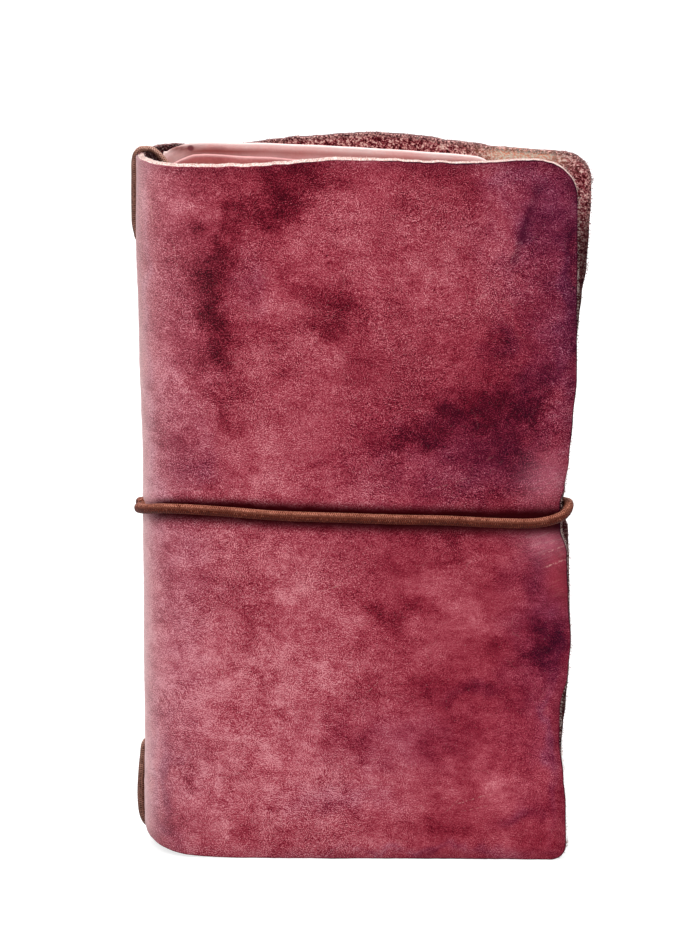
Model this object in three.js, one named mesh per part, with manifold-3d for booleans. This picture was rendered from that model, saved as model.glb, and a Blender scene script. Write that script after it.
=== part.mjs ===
// A leather personal organizer, closed and standing on its bottom edge.
// One thick leather cover folds round a spine and holds two paper notebooks and a
// leather folder with card pockets. A holding elastic runs through the middle, and a
// round elastic band goes once round the closed covers.
// Millimetres, +Z up along the organizer's height. The front cover faces -Y, the spine
// is at -X and the fore edge at +X.

import * as THREE from "three";
import { mergeVertices } from "three/addons/utils/BufferGeometryUtils.js";
import Module from "manifold-3d";

const wasm = await Module();
wasm.setup();

// Leather cover
const coverHeight = 218; // at the spine, without the crown of the top edge
const coverWidth = 130; // spine face to fore edge
const coverThickness = 28; // across both covers beside the spine
const foreThickness = 10.8; // across both covers at the fore edge
const leatherThickness = 2.6;
const shoulderX = 68; // the covers start to close on each other here
const pinchX = 128; // and end here
const creaseAngle = Math.PI / 4; // from the middle of the spine to each crease
const creaseGap = 0.3; // between the spine's leather and a cover's leather
const spineRaise = 7.6; // the bottom edge is drawn up at the spine
const spineRaiseReach = 42;

// The two covers: corner radii, the hand-cut rises and dips in the top edge, and how far the lower
// part stands open at the fore edge, as a share of what the covers close on each other.
// Each fore edge is a list of shares of the height with its shift there.
const frontCover = {
  side: -1,
  topCorner: 12,
  bottomCorner: 5,
  rises: [{ height: 2.4, x: 64, reach: 22 }],
  splay: 1,
  foreEdge: [
    [0, -1.2], [0.08, -1.5], [0.12, -2.3], [0.17, -3.6], [0.215, -3.6], [0.266, -1.3],
    [0.312, -0.5], [0.37, -1.4], [0.44, -2], [0.475, -4.1], [0.51, -4.3], [0.537, -2.9],
    [0.574, -1.8], [0.632, -0.8], [0.69, 0.2], [0.8, -0.1], [1, -0.4],
  ],
};
const backCover = {
  side: 1,
  topCorner: 8,
  bottomCorner: 6,
  rises: [{ height: 3.4, x: 70, reach: 30 }, { height: -1.1, x: 22, reach: 14 }],
  splay: 0.5,
  foreEdge: [
    [0, -1.6], [0.14, -2.6], [0.172, -2.2], [0.2, -1.5], [0.262, -0.7], [0.295, -0.2],
    [0.355, -0.8], [0.413, -1.1], [0.46, -2], [0.485, -4], [0.505, -4], [0.53, -2.3],
    [0.6, -1.4], [0.69, -0.2], [0.74, 0.9], [0.765, 1.4], [0.8, 1.9], [0.84, 3], [0.89, 3.4],
    [0.935, 3.9], [1, 3.8],
  ],
};
const splayTopZ = 75; // the covers stand open below this height
const shiftStartX = 85; // the fore edge's shifts fade out towards the spine here

// Closure band
const bandDiameter = 3;
const bandZ = coverHeight * 0.49862;
const bandTipRise = 0.8; // its tip at the fore edge lies this much higher
const cordGap = 0.35; // between a cord and what it lies on
const bandEndY = 1.75; // each end's place in the band's slot, from the middle
const closureKnot = [2.5, 3.3, 3.3]; // half sizes

// Holding elastic
const elasticDiameter = 2.5;
const elasticY = 3; // its holes lie behind the middle of the spine
const holeInset = 27; // from the spine's edge to each hole
const holeClearance = 0.35;
const holdingKnotRadius = 2.4;

// Leather folder
const folderFoldX = 12;
const folderLeather = 1.3;
const folderFoldRadius = 1.65; // inside the fold
const folderWidth = 94;
const folderBottomZ = 4.5;
const folderFoldInset = 9; // the fold is cut shorter than the leaves at both ends
const folderCorner = 7;
const leafSpacing = 0.5; // from the middle plane to a leaf
const frontLeafTop = { rise: 0.6, slope: -0.055, sag: 0 };
const backLeafTop = { rise: 3.1, slope: 0, sag: 0.00048 };

// Card pockets on each leaf, tallest next to the leaf
const pocketCount = 3;
const pocketLeather = 0.9;
const pocketGap = 0.2;
const pocketWidth = 50;
const pocketStartX = 20;
const pocketBottomZ = 9;
const pocketHeight = 108;
const pocketStep = 16;

// Notebooks
const notebookFoldX = 9.8;
const notebookWidth = 93;
const notebookHeight = 210;
const notebookBottomZ = 4.2;
const cardStock = 0.4;
const layerGap = 0.3;
const cardGap = 0.15;
const taperStartX = 72; // the stack thins out towards the fore edge from here
const foldOpening = 1.05; // half the gap left at a notebook's fold for its elastic
const foldOpeningReach = 5;
const stackClearance = 0.7; // to the leather, beside the spine
const foreClearance = 0.36; // to the leather, at the notebooks' fore edge
const connectingDiameter = 1.4;
const connectingInset = 3; // from the fold to the strand inside it
const stapleWire = 0.6;
const stapleLength = 12;
const stapleInset = 52; // from the notebook's ends
const stapleLeg = 2.4;

// Sizes that follow from those above
const spineRadius = coverThickness / 2;
const foreHalf = foreThickness / 2;
const bandRadius = bandDiameter / 2;
const elasticRadius = elasticDiameter / 2;
const innerRadius = spineRadius - leatherThickness;
const foldEndX = folderFoldX + folderWidth;
const notebookEndX = notebookFoldX + notebookWidth;

const smoothstep = (t) => {
  const c = Math.min(1, Math.max(0, t));
  return c * c * (3 - 2 * c);
};
const bump = (value, centre, reach) => Math.exp(-(((value - centre) / reach) ** 2));
const lerp = THREE.MathUtils.lerp;

// Outer half thickness of the closed covers at x, beyond the spine's bend.
function halfThickness(x) {
  const closing = smoothstep((x - shoulderX) / (pinchX - shoulderX));
  return lerp(spineRadius, foreHalf, closing);
}

// Rise of the bottom edge at a distance along the leather from the spine's middle.
function bottomEdge(along) {
  const rest = Math.max(0, 1 - along / spineRaiseReach);
  return spineRaise * rest ** 3;
}

function topEdge({ rises }, x) {
  return rises.reduce((top, rise) => top + rise.height * bump(x, rise.x, rise.reach), coverHeight);
}

// A closed solid from a grid of points on two faces: pointAt(column, row, face).
function gridSolid(columns, rows, pointAt) {
  const positions = [];
  const faces = [0, 1].map((face) =>
    Array.from({ length: columns + 1 }, (_, column) =>
      Array.from({ length: rows + 1 }, (_, row) => pointAt(column, row, face)),
    ),
  );
  const quad = (a, b, c, d) => positions.push(...a, ...b, ...c, ...a, ...c, ...d);
  const [near, far] = faces;
  for (let column = 0; column < columns; column++) {
    for (let row = 0; row < rows; row++) {
      quad(near[column][row], near[column + 1][row], near[column + 1][row + 1], near[column][row + 1]);
      quad(far[column][row], far[column][row + 1], far[column + 1][row + 1], far[column + 1][row]);
    }
    quad(near[column][0], far[column][0], far[column + 1][0], near[column + 1][0]);
    quad(near[column][rows], near[column + 1][rows], far[column + 1][rows], far[column][rows]);
  }
  for (let row = 0; row < rows; row++) {
    quad(near[0][row], near[0][row + 1], far[0][row + 1], far[0][row]);
    quad(near[columns][row], far[columns][row], far[columns][row + 1], near[columns][row + 1]);
  }
  const geometry = new THREE.BufferGeometry();
  geometry.setAttribute("position", new THREE.Float32BufferAttribute(positions, 3));
  return facingOut(geometry);
}

function signedVolume(geometry) {
  const position = geometry.getAttribute("position");
  const [a, b, c] = [new THREE.Vector3(), new THREE.Vector3(), new THREE.Vector3()];
  let volume = 0;
  for (let i = 0; i < position.count; i += 3) {
    a.fromBufferAttribute(position, i);
    b.fromBufferAttribute(position, i + 1);
    c.fromBufferAttribute(position, i + 2);
    volume += a.dot(b.cross(c)) / 6;
  }
  return volume;
}

// Turns every triangle round when the faces point inwards.
function facingOut(geometry) {
  const flat = geometry.index ? geometry.toNonIndexed() : geometry;
  if (signedVolume(flat) > 0) return flat;
  const array = flat.getAttribute("position").array;
  for (let i = 0; i < array.length; i += 9) {
    const second = array.slice(i + 3, i + 6);
    array.copyWithin(i + 3, i + 6, i + 9);
    array.set(second, i + 6);
  }
  return flat;
}

// Geometry to a solid and back, for cuts.
function toSolid(geometry) {
  const bare = new THREE.BufferGeometry();
  bare.setAttribute("position", facingOut(geometry).getAttribute("position"));
  const merged = mergeVertices(bare, 1e-4);
  const mesh = new wasm.Mesh({
    numProp: 3,
    vertProperties: merged.getAttribute("position").array,
    triVerts: new Uint32Array(merged.index.array),
  });
  return new wasm.Manifold(mesh);
}

function toGeometry(solid) {
  const mesh = solid.getMesh();
  const geometry = new THREE.BufferGeometry();
  geometry.setAttribute("position", new THREE.Float32BufferAttribute(mesh.vertProperties, 3));
  geometry.setIndex(new THREE.BufferAttribute(mesh.triVerts, 1));
  return geometry;
}

// A smooth route through points, with as many steps between any two of them, so that
// tight bends, whose points lie close together, get short steps.
function routeThrough(points, closed) {
  const route = new THREE.CatmullRomCurve3(points, closed, "centripetal");
  route.getPointAt = (share, target) => route.getPoint(share, target);
  route.getTangentAt = (share, target) => route.getTangent(share, target);
  return route;
}

// A cord with flat ends, with so many steps from each point to the next.
function cordAlong(points, radius, sides, stepsEach) {
  const extrudePath = routeThrough(points, false);
  const steps = (points.length - 1) * stepsEach;
  const section = new THREE.Shape(
    Array.from({ length: sides }, (_, i) => {
      const turn = (i / sides) * 2 * Math.PI;
      return new THREE.Vector2(radius * Math.cos(turn), radius * Math.sin(turn));
    }),
  );
  return new THREE.ExtrudeGeometry(section, { steps, bevelEnabled: false, extrudePath });
}

const vector = (x, y, z) => new THREE.Vector3(x, y, z);

// Point on the spine's bend: angle from the spine's middle, side -1 front or 1 back.
function onBend(angle, radius, side, z) {
  return vector(
    spineRadius - radius * Math.cos(angle),
    side * radius * Math.sin(angle),
    z,
  );
}

const materials = {
  leather: { color: 0x963c50, roughness: 0.55 },
  folder: { color: 0xd99aa0, roughness: 0.6 },
  elastic: { color: 0x6e4530, roughness: 0.8 },
  paper: { color: 0xefe6d2, roughness: 0.9 },
  card: { color: 0xb08a64, roughness: 0.85 },
  wire: { color: 0xb5b5b8, roughness: 0.35, metalness: 0.9 },
};

const organizer = new THREE.Group();

function addPiece(name, geometry, finish) {
  const piece = new THREE.Mesh(geometry, new THREE.MeshStandardMaterial(materials[finish]));
  piece.name = name;
  organizer.add(piece);
}

// Spine: the middle of the leather's bend, with two cord holes and the band's slot
function spineLeather() {
  const columns = 10;
  const rows = 6;
  const endAngle = creaseAngle - creaseGap / 2 / spineRadius;
  const bend = gridSolid(columns, rows, (column, row, face) => {
    const turn = lerp(-endAngle, endAngle, column / columns);
    const low = bottomEdge(Math.abs(turn) * spineRadius);
    const z = lerp(low, coverHeight, row / rows);
    const radius = face ? innerRadius : spineRadius;
    return onBend(Math.abs(turn), radius, Math.sign(turn) || 1, z).toArray();
  });
  const drill = (width, height, y, z) => {
    const sides = 10;
    const tool = new THREE.CylinderGeometry(0.5, 0.5, spineRadius, sides);
    tool.rotateZ(Math.PI / 2);
    tool.scale(1, width, height);
    tool.translate(0, y, z);
    return toSolid(tool);
  };
  const holeSize = elasticDiameter + 2 * holeClearance;
  const holeHeight = holeSize + elasticDiameter / 2; // drawn out by the cord
  const slotWidth = 2 * (bandEndY + bandRadius + 3 * holeClearance);
  const slotHeight = bandDiameter + 4 * holeClearance;
  let solid = toSolid(bend);
  solid = solid.subtract(drill(holeSize, holeHeight, elasticY, upperHoleZ));
  solid = solid.subtract(drill(holeSize, holeHeight, elasticY, lowerHoleZ));
  solid = solid.subtract(drill(slotWidth, slotHeight, 0, bandZ));
  return toGeometry(solid);
}

const spineBottomZ = bottomEdge(elasticY);
const upperHoleZ = coverHeight - holeInset;
const lowerHoleZ = spineBottomZ + holeInset;

// Shift of a cover's fore edge at a height.
function foreShift({ foreEdge }, z) {
  const share = z / coverHeight;
  const next = foreEdge.findIndex(([at]) => at > share);
  if (next < 0) return foreEdge[foreEdge.length - 1][1];
  const [[fromShare, from], [toShare, to]] = [foreEdge[next - 1], foreEdge[next]];
  return lerp(from, to, smoothstep((share - fromShare) / (toShare - fromShare)));
}

// How far a cover's lower part stands open at a point.
function splayAt(cover, x, z) {
  return cover.splay * (spineRadius - halfThickness(x)) * smoothstep(1 - z / splayTopZ);
}

// A cover: from its crease round the rest of the bend and out to the fore edge.
function coverLeather(cover) {
  const startAngle = creaseAngle + creaseGap / 2 / spineRadius;
  const bendColumns = [startAngle, 1.05, 1.31, Math.PI / 2].map((angle) => ({
    along: angle * spineRadius,
    outer: onBend(angle, spineRadius, -1, 0),
    inner: onBend(angle, innerRadius, -1, 0),
  }));
  const cornerTurns = [0, 0.45, 0.8, 1.15, Math.PI / 2];
  const cornerStartX = coverWidth - cover.topCorner;
  const flatFractions = [0.1, 0.3, 0.48, 0.58, 0.68, 0.78, 0.88];
  const flatXs = [
    ...flatFractions.map((part) => lerp(spineRadius, cornerStartX, part)),
    ...cornerTurns.map((turn) => cornerStartX + cover.topCorner * Math.sin(turn)),
  ];
  const flatColumns = flatXs.map((x) => {
    const step = 0.01;
    const slope = (halfThickness(x + step) - halfThickness(x - step)) / (2 * step);
    const normal = new THREE.Vector2(slope, 1).normalize().multiplyScalar(leatherThickness);
    const outer = vector(x, -halfThickness(x), 0);
    return {
      along: x - spineRadius + (Math.PI / 2) * spineRadius,
      outer,
      inner: vector(x + normal.x, outer.y + normal.y, 0),
    };
  });
  const columns = [...bendColumns, ...flatColumns];
  const cornerDrop = (x, radius) => {
    const into = Math.max(0, x - (coverWidth - radius));
    return radius - Math.sqrt(Math.max(0, radius ** 2 - into ** 2));
  };
  const rows = 20;
  return gridSolid(columns.length - 1, rows, (column, row, face) => {
    const { along, outer, inner } = columns[column];
    const low = bottomEdge(along) + cornerDrop(outer.x, cover.bottomCorner);
    const high = topEdge(cover, outer.x) - cornerDrop(outer.x, cover.topCorner);
    const z = lerp(low, high, row / rows);
    const reach = Math.max(0, (outer.x - shiftStartX) / (coverWidth - shiftStartX));
    const point = face ? inner : outer;
    const y = point.y - splayAt(cover, outer.x, z);
    return [point.x + foreShift(cover, z) * reach ** 2, y * -cover.side, z];
  });
}

addPiece("spine_leather", spineLeather(), "leather");
addPiece("front_cover", coverLeather(frontCover), "leather");
addPiece("back_cover", coverLeather(backCover), "leather");

// Closure band: one elastic whose ends are knotted inside the spine. It goes round
// each half of the covers and meets itself at the fore edge.
// Each flank point is a share of the way from the bend to the fore edge, with how far
// the band runs above its slot there, on the front and on the back.
const bandFlank = [
  { share: 0.0, front: 3.7, back: -5.2 },
  { share: 0.11, front: 2.9, back: -4.4 },
  { share: 0.22, front: 1.9, back: -3.5 },
  { share: 0.42, front: 1.2, back: -2.8 },
  { share: 0.55, front: 0.6, back: -2.2 },
  { share: 0.67, front: -0.4, back: -1.4 },
  { share: 0.79, front: -1.7, back: -0.8 },
  { share: 0.9, front: -2.6, back: -0.3 },
];
const bandStandOff = bandRadius + cordGap;
const bandTipZ = bandZ + bandTipRise;
const bandEdgeX = coverWidth - 3.8; // the dented leather that it bends round
const bandClimbAngle = 1.35; // the band has its flank's height from this angle of the bend

function bandFlankPoint({ share, front, back }, side) {
  const x = lerp(spineRadius + 0.5, coverWidth, share);
  const straight = lerp(spineRadius, foreHalf, (x - shoulderX) / (coverWidth - shoulderX));
  const rest = Math.max(halfThickness(x), Math.min(spineRadius, straight));
  return vector(x, side * (rest + bandStandOff), bandZ + (side < 0 ? front : back));
}

// A point of the band on the spine's bend, on its way from the slot to the flank.
function bandBendPoint(angle, radius, side) {
  const [{ front, back }] = bandFlank;
  const climbed = smoothstep(angle / bandClimbAngle);
  return onBend(angle, radius, side, bandZ + climbed * (side < 0 ? front : back));
}

// The end of the band: in through the slot, then round the spine to the crease.
function bandArcPoints(side, endAngle) {
  const radius = spineRadius + bandStandOff;
  const leave = 0.42;
  const wall = spineRadius - Math.sqrt(innerRadius ** 2 - bandEndY ** 2);
  const points = [
    vector(wall + cordGap, side * bandEndY, bandZ),
    vector(wall - leatherThickness, side * (bandEndY + 0.05), bandZ),
    bandBendPoint(leave * 0.72, radius - 0.1, side),
  ];
  const turns = 3;
  for (let i = 0; i <= turns; i++) {
    points.push(bandBendPoint(lerp(leave, endAngle, i / turns), radius, side));
  }
  return points;
}

function bandStrandPoints(side, startAngle) {
  const radius = spineRadius + bandStandOff;
  const points = [startAngle, 1.05, 1.31].map((angle) => bandBendPoint(angle, radius, side));
  points.push(...bandFlank.map((flank) => bandFlankPoint(flank, side)));
  const { z } = points[points.length - 1];
  const round = bandStandOff * 0.74;
  const corner = (x, y, toTip) => points.push(vector(x, side * y, lerp(z, bandTipZ, toTip)));
  corner(bandEdgeX - 2.4, foreHalf + bandStandOff, 0.15);
  corner(bandEdgeX + round, foreHalf + round, 0.4);
  corner(bandEdgeX + bandStandOff, foreHalf - 1.4, 0.75);
  corner(bandEdgeX + bandStandOff + 0.1, 1.3, 1);
  corner(bandEdgeX + bandStandOff + 0.1, creaseGap / 2, 1);
  return points;
}

const bandCutAngle = creaseAngle - 0.02;
for (const [face, side] of [["front", -1], ["back", 1]]) {
  const arc = cordAlong(bandArcPoints(side, bandCutAngle), bandRadius, 8, 2);
  addPiece("closure_band_spine_" + face, arc, "elastic");
  const strand = cordAlong(bandStrandPoints(side, bandCutAngle + 0.04), bandRadius, 8, 2);
  addPiece("closure_band_" + face, strand, "elastic");
}

function knot(halfSizes, centre) {
  const lump = new THREE.IcosahedronGeometry(1, 1);
  lump.scale(...halfSizes);
  lump.translate(...centre);
  return lump;
}

const closureKnotX =
  spineRadius - Math.sqrt(innerRadius ** 2 - bandEndY ** 2) + 2 * cordGap + closureKnot[0];
addPiece("closure_knot", knot(closureKnot, [closureKnotX, 0, bandZ]), "elastic");

// Holding elastic: out through the upper hole, over the top edge, down the folder's
// fold, under the bottom edge and in through the lower hole. Points chosen by hand.
const wallInnerX = spineRadius - Math.sqrt(innerRadius ** 2 - elasticY ** 2);
const wallOuterX = spineRadius - Math.sqrt(spineRadius ** 2 - elasticY ** 2);
const runX = wallOuterX - elasticRadius - cordGap;
const overZ = coverHeight + elasticRadius + cordGap;
const underZ = spineBottomZ - elasticRadius - cordGap;
const holdingRoute = [
  vector(wallInnerX + cordGap, elasticY, upperHoleZ),
  vector(wallOuterX - 0.9, elasticY, upperHoleZ + 0.6),
  vector(runX, elasticY, upperHoleZ + 4.2),
  vector(runX, elasticY, coverHeight - 8),
  vector(runX, elasticY, coverHeight - 1.2),
  vector(wallOuterX - 1.3, elasticY, coverHeight + 1.2),
  vector(wallOuterX + 0.4, elasticY - 0.1, overZ + 0.1),
  vector(runX + 4.4, elasticY - 0.6, overZ + 0.3),
  vector(runX + 8.2, elasticY - 1.8, overZ - 1.8),
  vector(folderFoldX - 0.7, 0.25, overZ - 6.2),
  vector(folderFoldX, 0, overZ - 12),
  vector(folderFoldX, 0, coverHeight / 2),
  vector(folderFoldX, 0, underZ + 12),
  vector(folderFoldX - 0.7, 0.25, underZ + 5.2),
  vector(runX + 8.2, elasticY - 1.8, underZ + 0.6),
  vector(runX + 4.4, elasticY - 0.6, underZ - 0.6),
  vector(wallOuterX + 0.2, elasticY - 0.1, underZ - 0.1),
  vector(wallOuterX - 1.4, elasticY, underZ + 0.3),
  vector(runX, elasticY, underZ + 3.4),
  vector(runX, elasticY, lerp(underZ, lowerHoleZ, 0.45)),
  vector(runX, elasticY, lowerHoleZ - 5),
  vector(wallOuterX - 0.9, elasticY, lowerHoleZ - 0.6),
  vector(wallInnerX + cordGap, elasticY, lowerHoleZ),
];
addPiece("holding_elastic", cordAlong(holdingRoute, elasticRadius, 8, 3), "elastic");

const holdingKnotX = wallInnerX + 2 * cordGap + holdingKnotRadius;
const holdingKnotSizes = [holdingKnotRadius, holdingKnotRadius, holdingKnotRadius];
for (const [name, z] of [["holding_knot_top", upperHoleZ], ["holding_knot_bottom", lowerHoleZ]]) {
  addPiece(name, knot(holdingKnotSizes, [holdingKnotX, elasticY, z]), "elastic");
}

// A flat layer of the stack: columns of { x, near, far } measured from the middle
// plane, between two heights that may depend on x.
function layer(columns, side, lowAt, highAt) {
  return gridSolid(columns.length - 1, 1, (column, row, face) => {
    const { x, near, far, nearX = x, farX = x } = columns[column];
    const across = face ? far : near;
    const along = face ? farX : nearX;
    return [along, side * across, row ? highAt(x) : lowAt(x)];
  });
}

// Folder: two leaves beside a fold that holds the elastic
function folderFold() {
  const turns = 8;
  const low = folderBottomZ + folderFoldInset;
  const high = coverHeight - folderFoldInset;
  const outerRadius = folderFoldRadius + folderLeather;
  return gridSolid(turns, 1, (column, row, face) => {
    const turn = lerp(-Math.PI / 2, Math.PI / 2, column / turns);
    const radius = face ? folderFoldRadius : outerRadius;
    const x = folderFoldX - radius * Math.cos(turn);
    return [x, radius * Math.sin(turn), row ? high : low];
  });
}

function folderLeaf(side, top) {
  const startX = folderFoldX + creaseGap;
  const cornerTurns = [0, 0.5, 1.0, Math.PI / 2];
  const cornerStartX = foldEndX - folderCorner;
  const drop = (x, radius) => {
    const into = Math.max(0, x - (foldEndX - radius));
    return radius - Math.sqrt(Math.max(0, radius ** 2 - into ** 2));
  };
  const innerCorner = 4; // rounded top corner beside the fold
  const nearFold = (x) => {
    const into = Math.max(0, startX + innerCorner - x);
    return innerCorner - Math.sqrt(Math.max(0, innerCorner ** 2 - into ** 2));
  };
  const xs = [startX, startX + 0.6, startX + 2, startX + innerCorner, startX + 6, startX + 30];
  xs.push(taperStartX, ...cornerTurns.map((turn) => cornerStartX + folderCorner * Math.sin(turn)));
  const columns = xs.map((x) => {
    const closing = smoothstep((x - startX) / 6);
    const near = lerp(folderFoldRadius, leafSpacing, closing);
    return { x, near, far: near + folderLeather };
  });
  const lowAt = (x) => folderBottomZ + drop(x, folderCorner);
  const highAt = (x) => {
    const along = x - startX;
    const fall = top.slope * along - top.sag * along ** 2;
    return coverHeight + top.rise + fall - drop(x, folderCorner) - nearFold(x);
  };
  return layer(columns, side, lowAt, highAt);
}

addPiece("folder_fold", folderFold(), "folder");
addPiece("folder_front_leaf", folderLeaf(-1, frontLeafTop), "folder");
addPiece("folder_back_leaf", folderLeaf(1, backLeafTop), "folder");

const leafFar = leafSpacing + folderLeather;
for (const [face, side] of [["front", -1], ["back", 1]]) {
  for (let i = 0; i < pocketCount; i++) {
    const near = leafFar + pocketGap + i * (pocketLeather + pocketGap);
    const ends = [pocketStartX, pocketStartX + pocketWidth];
    const columns = ends.map((x) => ({ x, near, far: near + pocketLeather }));
    const high = pocketBottomZ + pocketHeight - i * pocketStep;
    const pocket = layer(columns, side, () => pocketBottomZ, () => high);
    addPiece("card_pocket_" + face + "_" + (i + 1), pocket, "folder");
  }
}

// Notebooks: the space between the folder and the leather is shared by two half
// notebooks on each side. Distances from the middle plane, beside the fold and at the
// fore edge.
function notebookLayers() {
  const pocketStack = pocketCount * (pocketLeather + pocketGap);
  const inside = [leafFar + pocketStack, leafFar].map((start) => start + layerGap);
  const foreSlope = Math.abs(halfThickness(notebookEndX + 1) - halfThickness(notebookEndX));
  const foreInner = halfThickness(notebookEndX) - leatherThickness * Math.hypot(1, foreSlope);
  const outside = [innerRadius - stackClearance, foreInner - foreClearance];
  return inside.map((start, i) => {
    const pages = (outside[i] - start - 2 * (cardStock + cardGap) - layerGap) / 2;
    const innerPages = start + cardStock + cardGap;
    const middle = innerPages + pages + layerGap / 2;
    return { start, innerPages, middle, outerPages: middle + layerGap / 2, pages, end: outside[i] };
  });
}

const [atFold, atFore] = notebookLayers();
const taper = (x) => Math.max(0, (x - taperStartX) / (notebookEndX - taperStartX));
const layerAt = (key, x) => lerp(atFold[key], atFore[key], taper(x));

// One half of a card cover: it turns round the fold from the notebook's middle.
function cardHalf(side, outer) {
  const direction = outer ? 1 : -1;
  const edge = outer ? atFold.end : atFold.start;
  const middle = atFold.middle;
  const reach = Math.abs(edge - middle);
  const gap = direction * (creaseGap / 2 + 0.1);
  const foldColumns = [0, 0.5, 1].map((part) => {
    const turn = (part * Math.PI) / 2;
    const centreX = notebookFoldX + reach;
    const along = lerp(gap / direction, reach, Math.sin(turn));
    const farX = centreX - reach * Math.cos(turn);
    const nearX = centreX - (reach - cardStock) * Math.cos(turn);
    const nearAlong = lerp(gap / direction, reach - cardStock, Math.sin(turn));
    return {
      x: farX,
      farX,
      nearX,
      far: middle + direction * along,
      near: middle + direction * nearAlong,
    };
  });
  const flat = [taperStartX, notebookEndX].map((x) => {
    const far = layerAt(outer ? "end" : "start", x);
    return { x, far, near: far - direction * cardStock };
  });
  const low = () => notebookBottomZ;
  const high = () => notebookBottomZ + notebookHeight;
  return layer([...foldColumns, ...flat], side, low, high);
}

// One half of a page block, hollowed beside the fold for the connecting elastic.
function pagesHalf(side, outer) {
  const direction = outer ? 1 : -1;
  const reach = atFold.end - atFold.middle - cardStock - cardGap;
  const startX = notebookFoldX + cardStock + cardGap + 0.6;
  const trim = 0.6; // pages are trimmed inside the card's fore edge
  const xs = [startX, notebookFoldX + foldOpeningReach, notebookFoldX + foldOpeningReach + 5];
  xs.push(taperStartX, notebookEndX - trim);
  const columns = xs.map((x) => {
    const opening = foldOpening * (1 - smoothstep((x - xs[1]) / 5));
    const near = layerAt("middle", x) + direction * Math.max(layerGap / 2, opening);
    const full = outer
      ? layerAt("end", x) - cardStock - cardGap
      : layerAt("start", x) + cardStock + cardGap;
    const narrowed = x === startX ? layerAt("middle", x) + direction * (reach * 0.78) : full;
    return { x, near, far: narrowed };
  });
  const low = () => notebookBottomZ + trim;
  const high = () => notebookBottomZ + notebookHeight - trim;
  return layer(columns, side, low, high);
}

// A staple through the fold: a crown outside the card and two legs inside.
function staple(side, z) {
  const crownX = notebookFoldX - cordGap - stapleWire / 2;
  const y = side * atFold.middle;
  const half = stapleLength / 2;
  const bend = 0.7;
  const points = [
    vector(crownX + stapleLeg, y, z - half),
    vector(crownX + bend, y, z - half),
    vector(crownX + 0.15 * bend, y, z - half + 0.15 * bend),
    vector(crownX, y, z - half + bend),
    vector(crownX, y, z + half - bend),
    vector(crownX + 0.15 * bend, y, z + half - 0.15 * bend),
    vector(crownX + bend, y, z + half),
    vector(crownX + stapleLeg, y, z + half),
  ];
  return cordAlong(points, stapleWire / 2, 6, 1);
}

// The elastic that goes round one notebook through its fold.
function connectingElastic(side) {
  const radius = connectingDiameter / 2;
  const clearance = radius + cordGap;
  const insideX = notebookFoldX + connectingInset;
  const outsideX = notebookFoldX - stapleWire - 2 * cordGap - radius;
  const y = side * atFold.middle;
  const low = notebookBottomZ - clearance;
  const high = notebookBottomZ + notebookHeight + clearance;
  const bend = 1.6;
  const points = [
    vector(insideX, y, low + bend),
    vector(insideX, y, (low + high) / 2),
    vector(insideX, y, high - bend),
    vector(insideX - bend * 0.4, y, high - bend * 0.2),
    vector(insideX - bend, y, high),
    vector(outsideX + bend, y, high),
    vector(outsideX + bend * 0.4, y, high - bend * 0.2),
    vector(outsideX, y, high - bend),
    vector(outsideX, y, (low + high) / 2),
    vector(outsideX, y, low + bend),
    vector(outsideX + bend * 0.4, y, low + bend * 0.2),
    vector(outsideX + bend, y, low),
    vector(insideX - bend, y, low),
    vector(insideX - bend * 0.4, y, low + bend * 0.2),
  ];
  const stepsEach = 2;
  const steps = points.length * stepsEach;
  return new THREE.TubeGeometry(routeThrough(points, true), steps, radius, 6, true);
}

for (const [name, side] of [["notebook_a", -1], ["notebook_b", 1]]) {
  for (const outer of [true, false]) {
    const half = (side < 0) === outer ? "front" : "back";
    addPiece(name + "_card_" + half, cardHalf(side, outer), "card");
    addPiece(name + "_pages_" + half, pagesHalf(side, outer), "paper");
  }
  const staples = [
    ["lower", notebookBottomZ + stapleInset],
    ["upper", notebookBottomZ + notebookHeight - stapleInset],
  ];
  for (const [place, z] of staples) addPiece(name + "_staple_" + place, staple(side, z), "wire");
  addPiece(name + "_elastic", connectingElastic(side), "elastic");
}

// The origin is the middle of the organizer's outline on the surface it stands on.
const outline = new THREE.Box3().setFromObject(organizer);
const middle = outline.getCenter(new THREE.Vector3());
organizer.position.set(-middle.x, -middle.y, 0);

export default organizer;
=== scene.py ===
"""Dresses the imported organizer: leather cover, cords, folder and notebooks, with camera and light."""
import math

import bpy
import numpy as np
from mathutils import Matrix, Vector


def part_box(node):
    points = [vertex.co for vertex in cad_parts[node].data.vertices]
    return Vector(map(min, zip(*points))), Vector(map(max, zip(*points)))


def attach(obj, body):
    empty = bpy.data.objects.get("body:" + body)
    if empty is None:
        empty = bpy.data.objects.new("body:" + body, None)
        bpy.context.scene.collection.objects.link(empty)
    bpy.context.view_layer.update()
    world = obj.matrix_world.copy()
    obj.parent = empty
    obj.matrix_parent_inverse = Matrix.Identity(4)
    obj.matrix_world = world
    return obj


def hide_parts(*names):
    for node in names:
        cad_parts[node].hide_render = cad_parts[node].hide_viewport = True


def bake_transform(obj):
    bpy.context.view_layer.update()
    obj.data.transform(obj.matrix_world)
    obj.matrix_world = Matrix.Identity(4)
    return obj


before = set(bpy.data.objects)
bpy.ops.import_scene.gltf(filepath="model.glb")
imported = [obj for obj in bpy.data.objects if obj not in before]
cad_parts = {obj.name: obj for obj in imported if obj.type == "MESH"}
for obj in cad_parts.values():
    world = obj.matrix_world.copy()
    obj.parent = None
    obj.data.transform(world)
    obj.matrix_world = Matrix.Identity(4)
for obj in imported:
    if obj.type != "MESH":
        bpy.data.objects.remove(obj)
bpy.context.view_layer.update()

# Sizes in millimetres, measured as in the solids: x from the spine's outer face, y from the
# middle plane, z from the bottom
MM = 0.001
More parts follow.
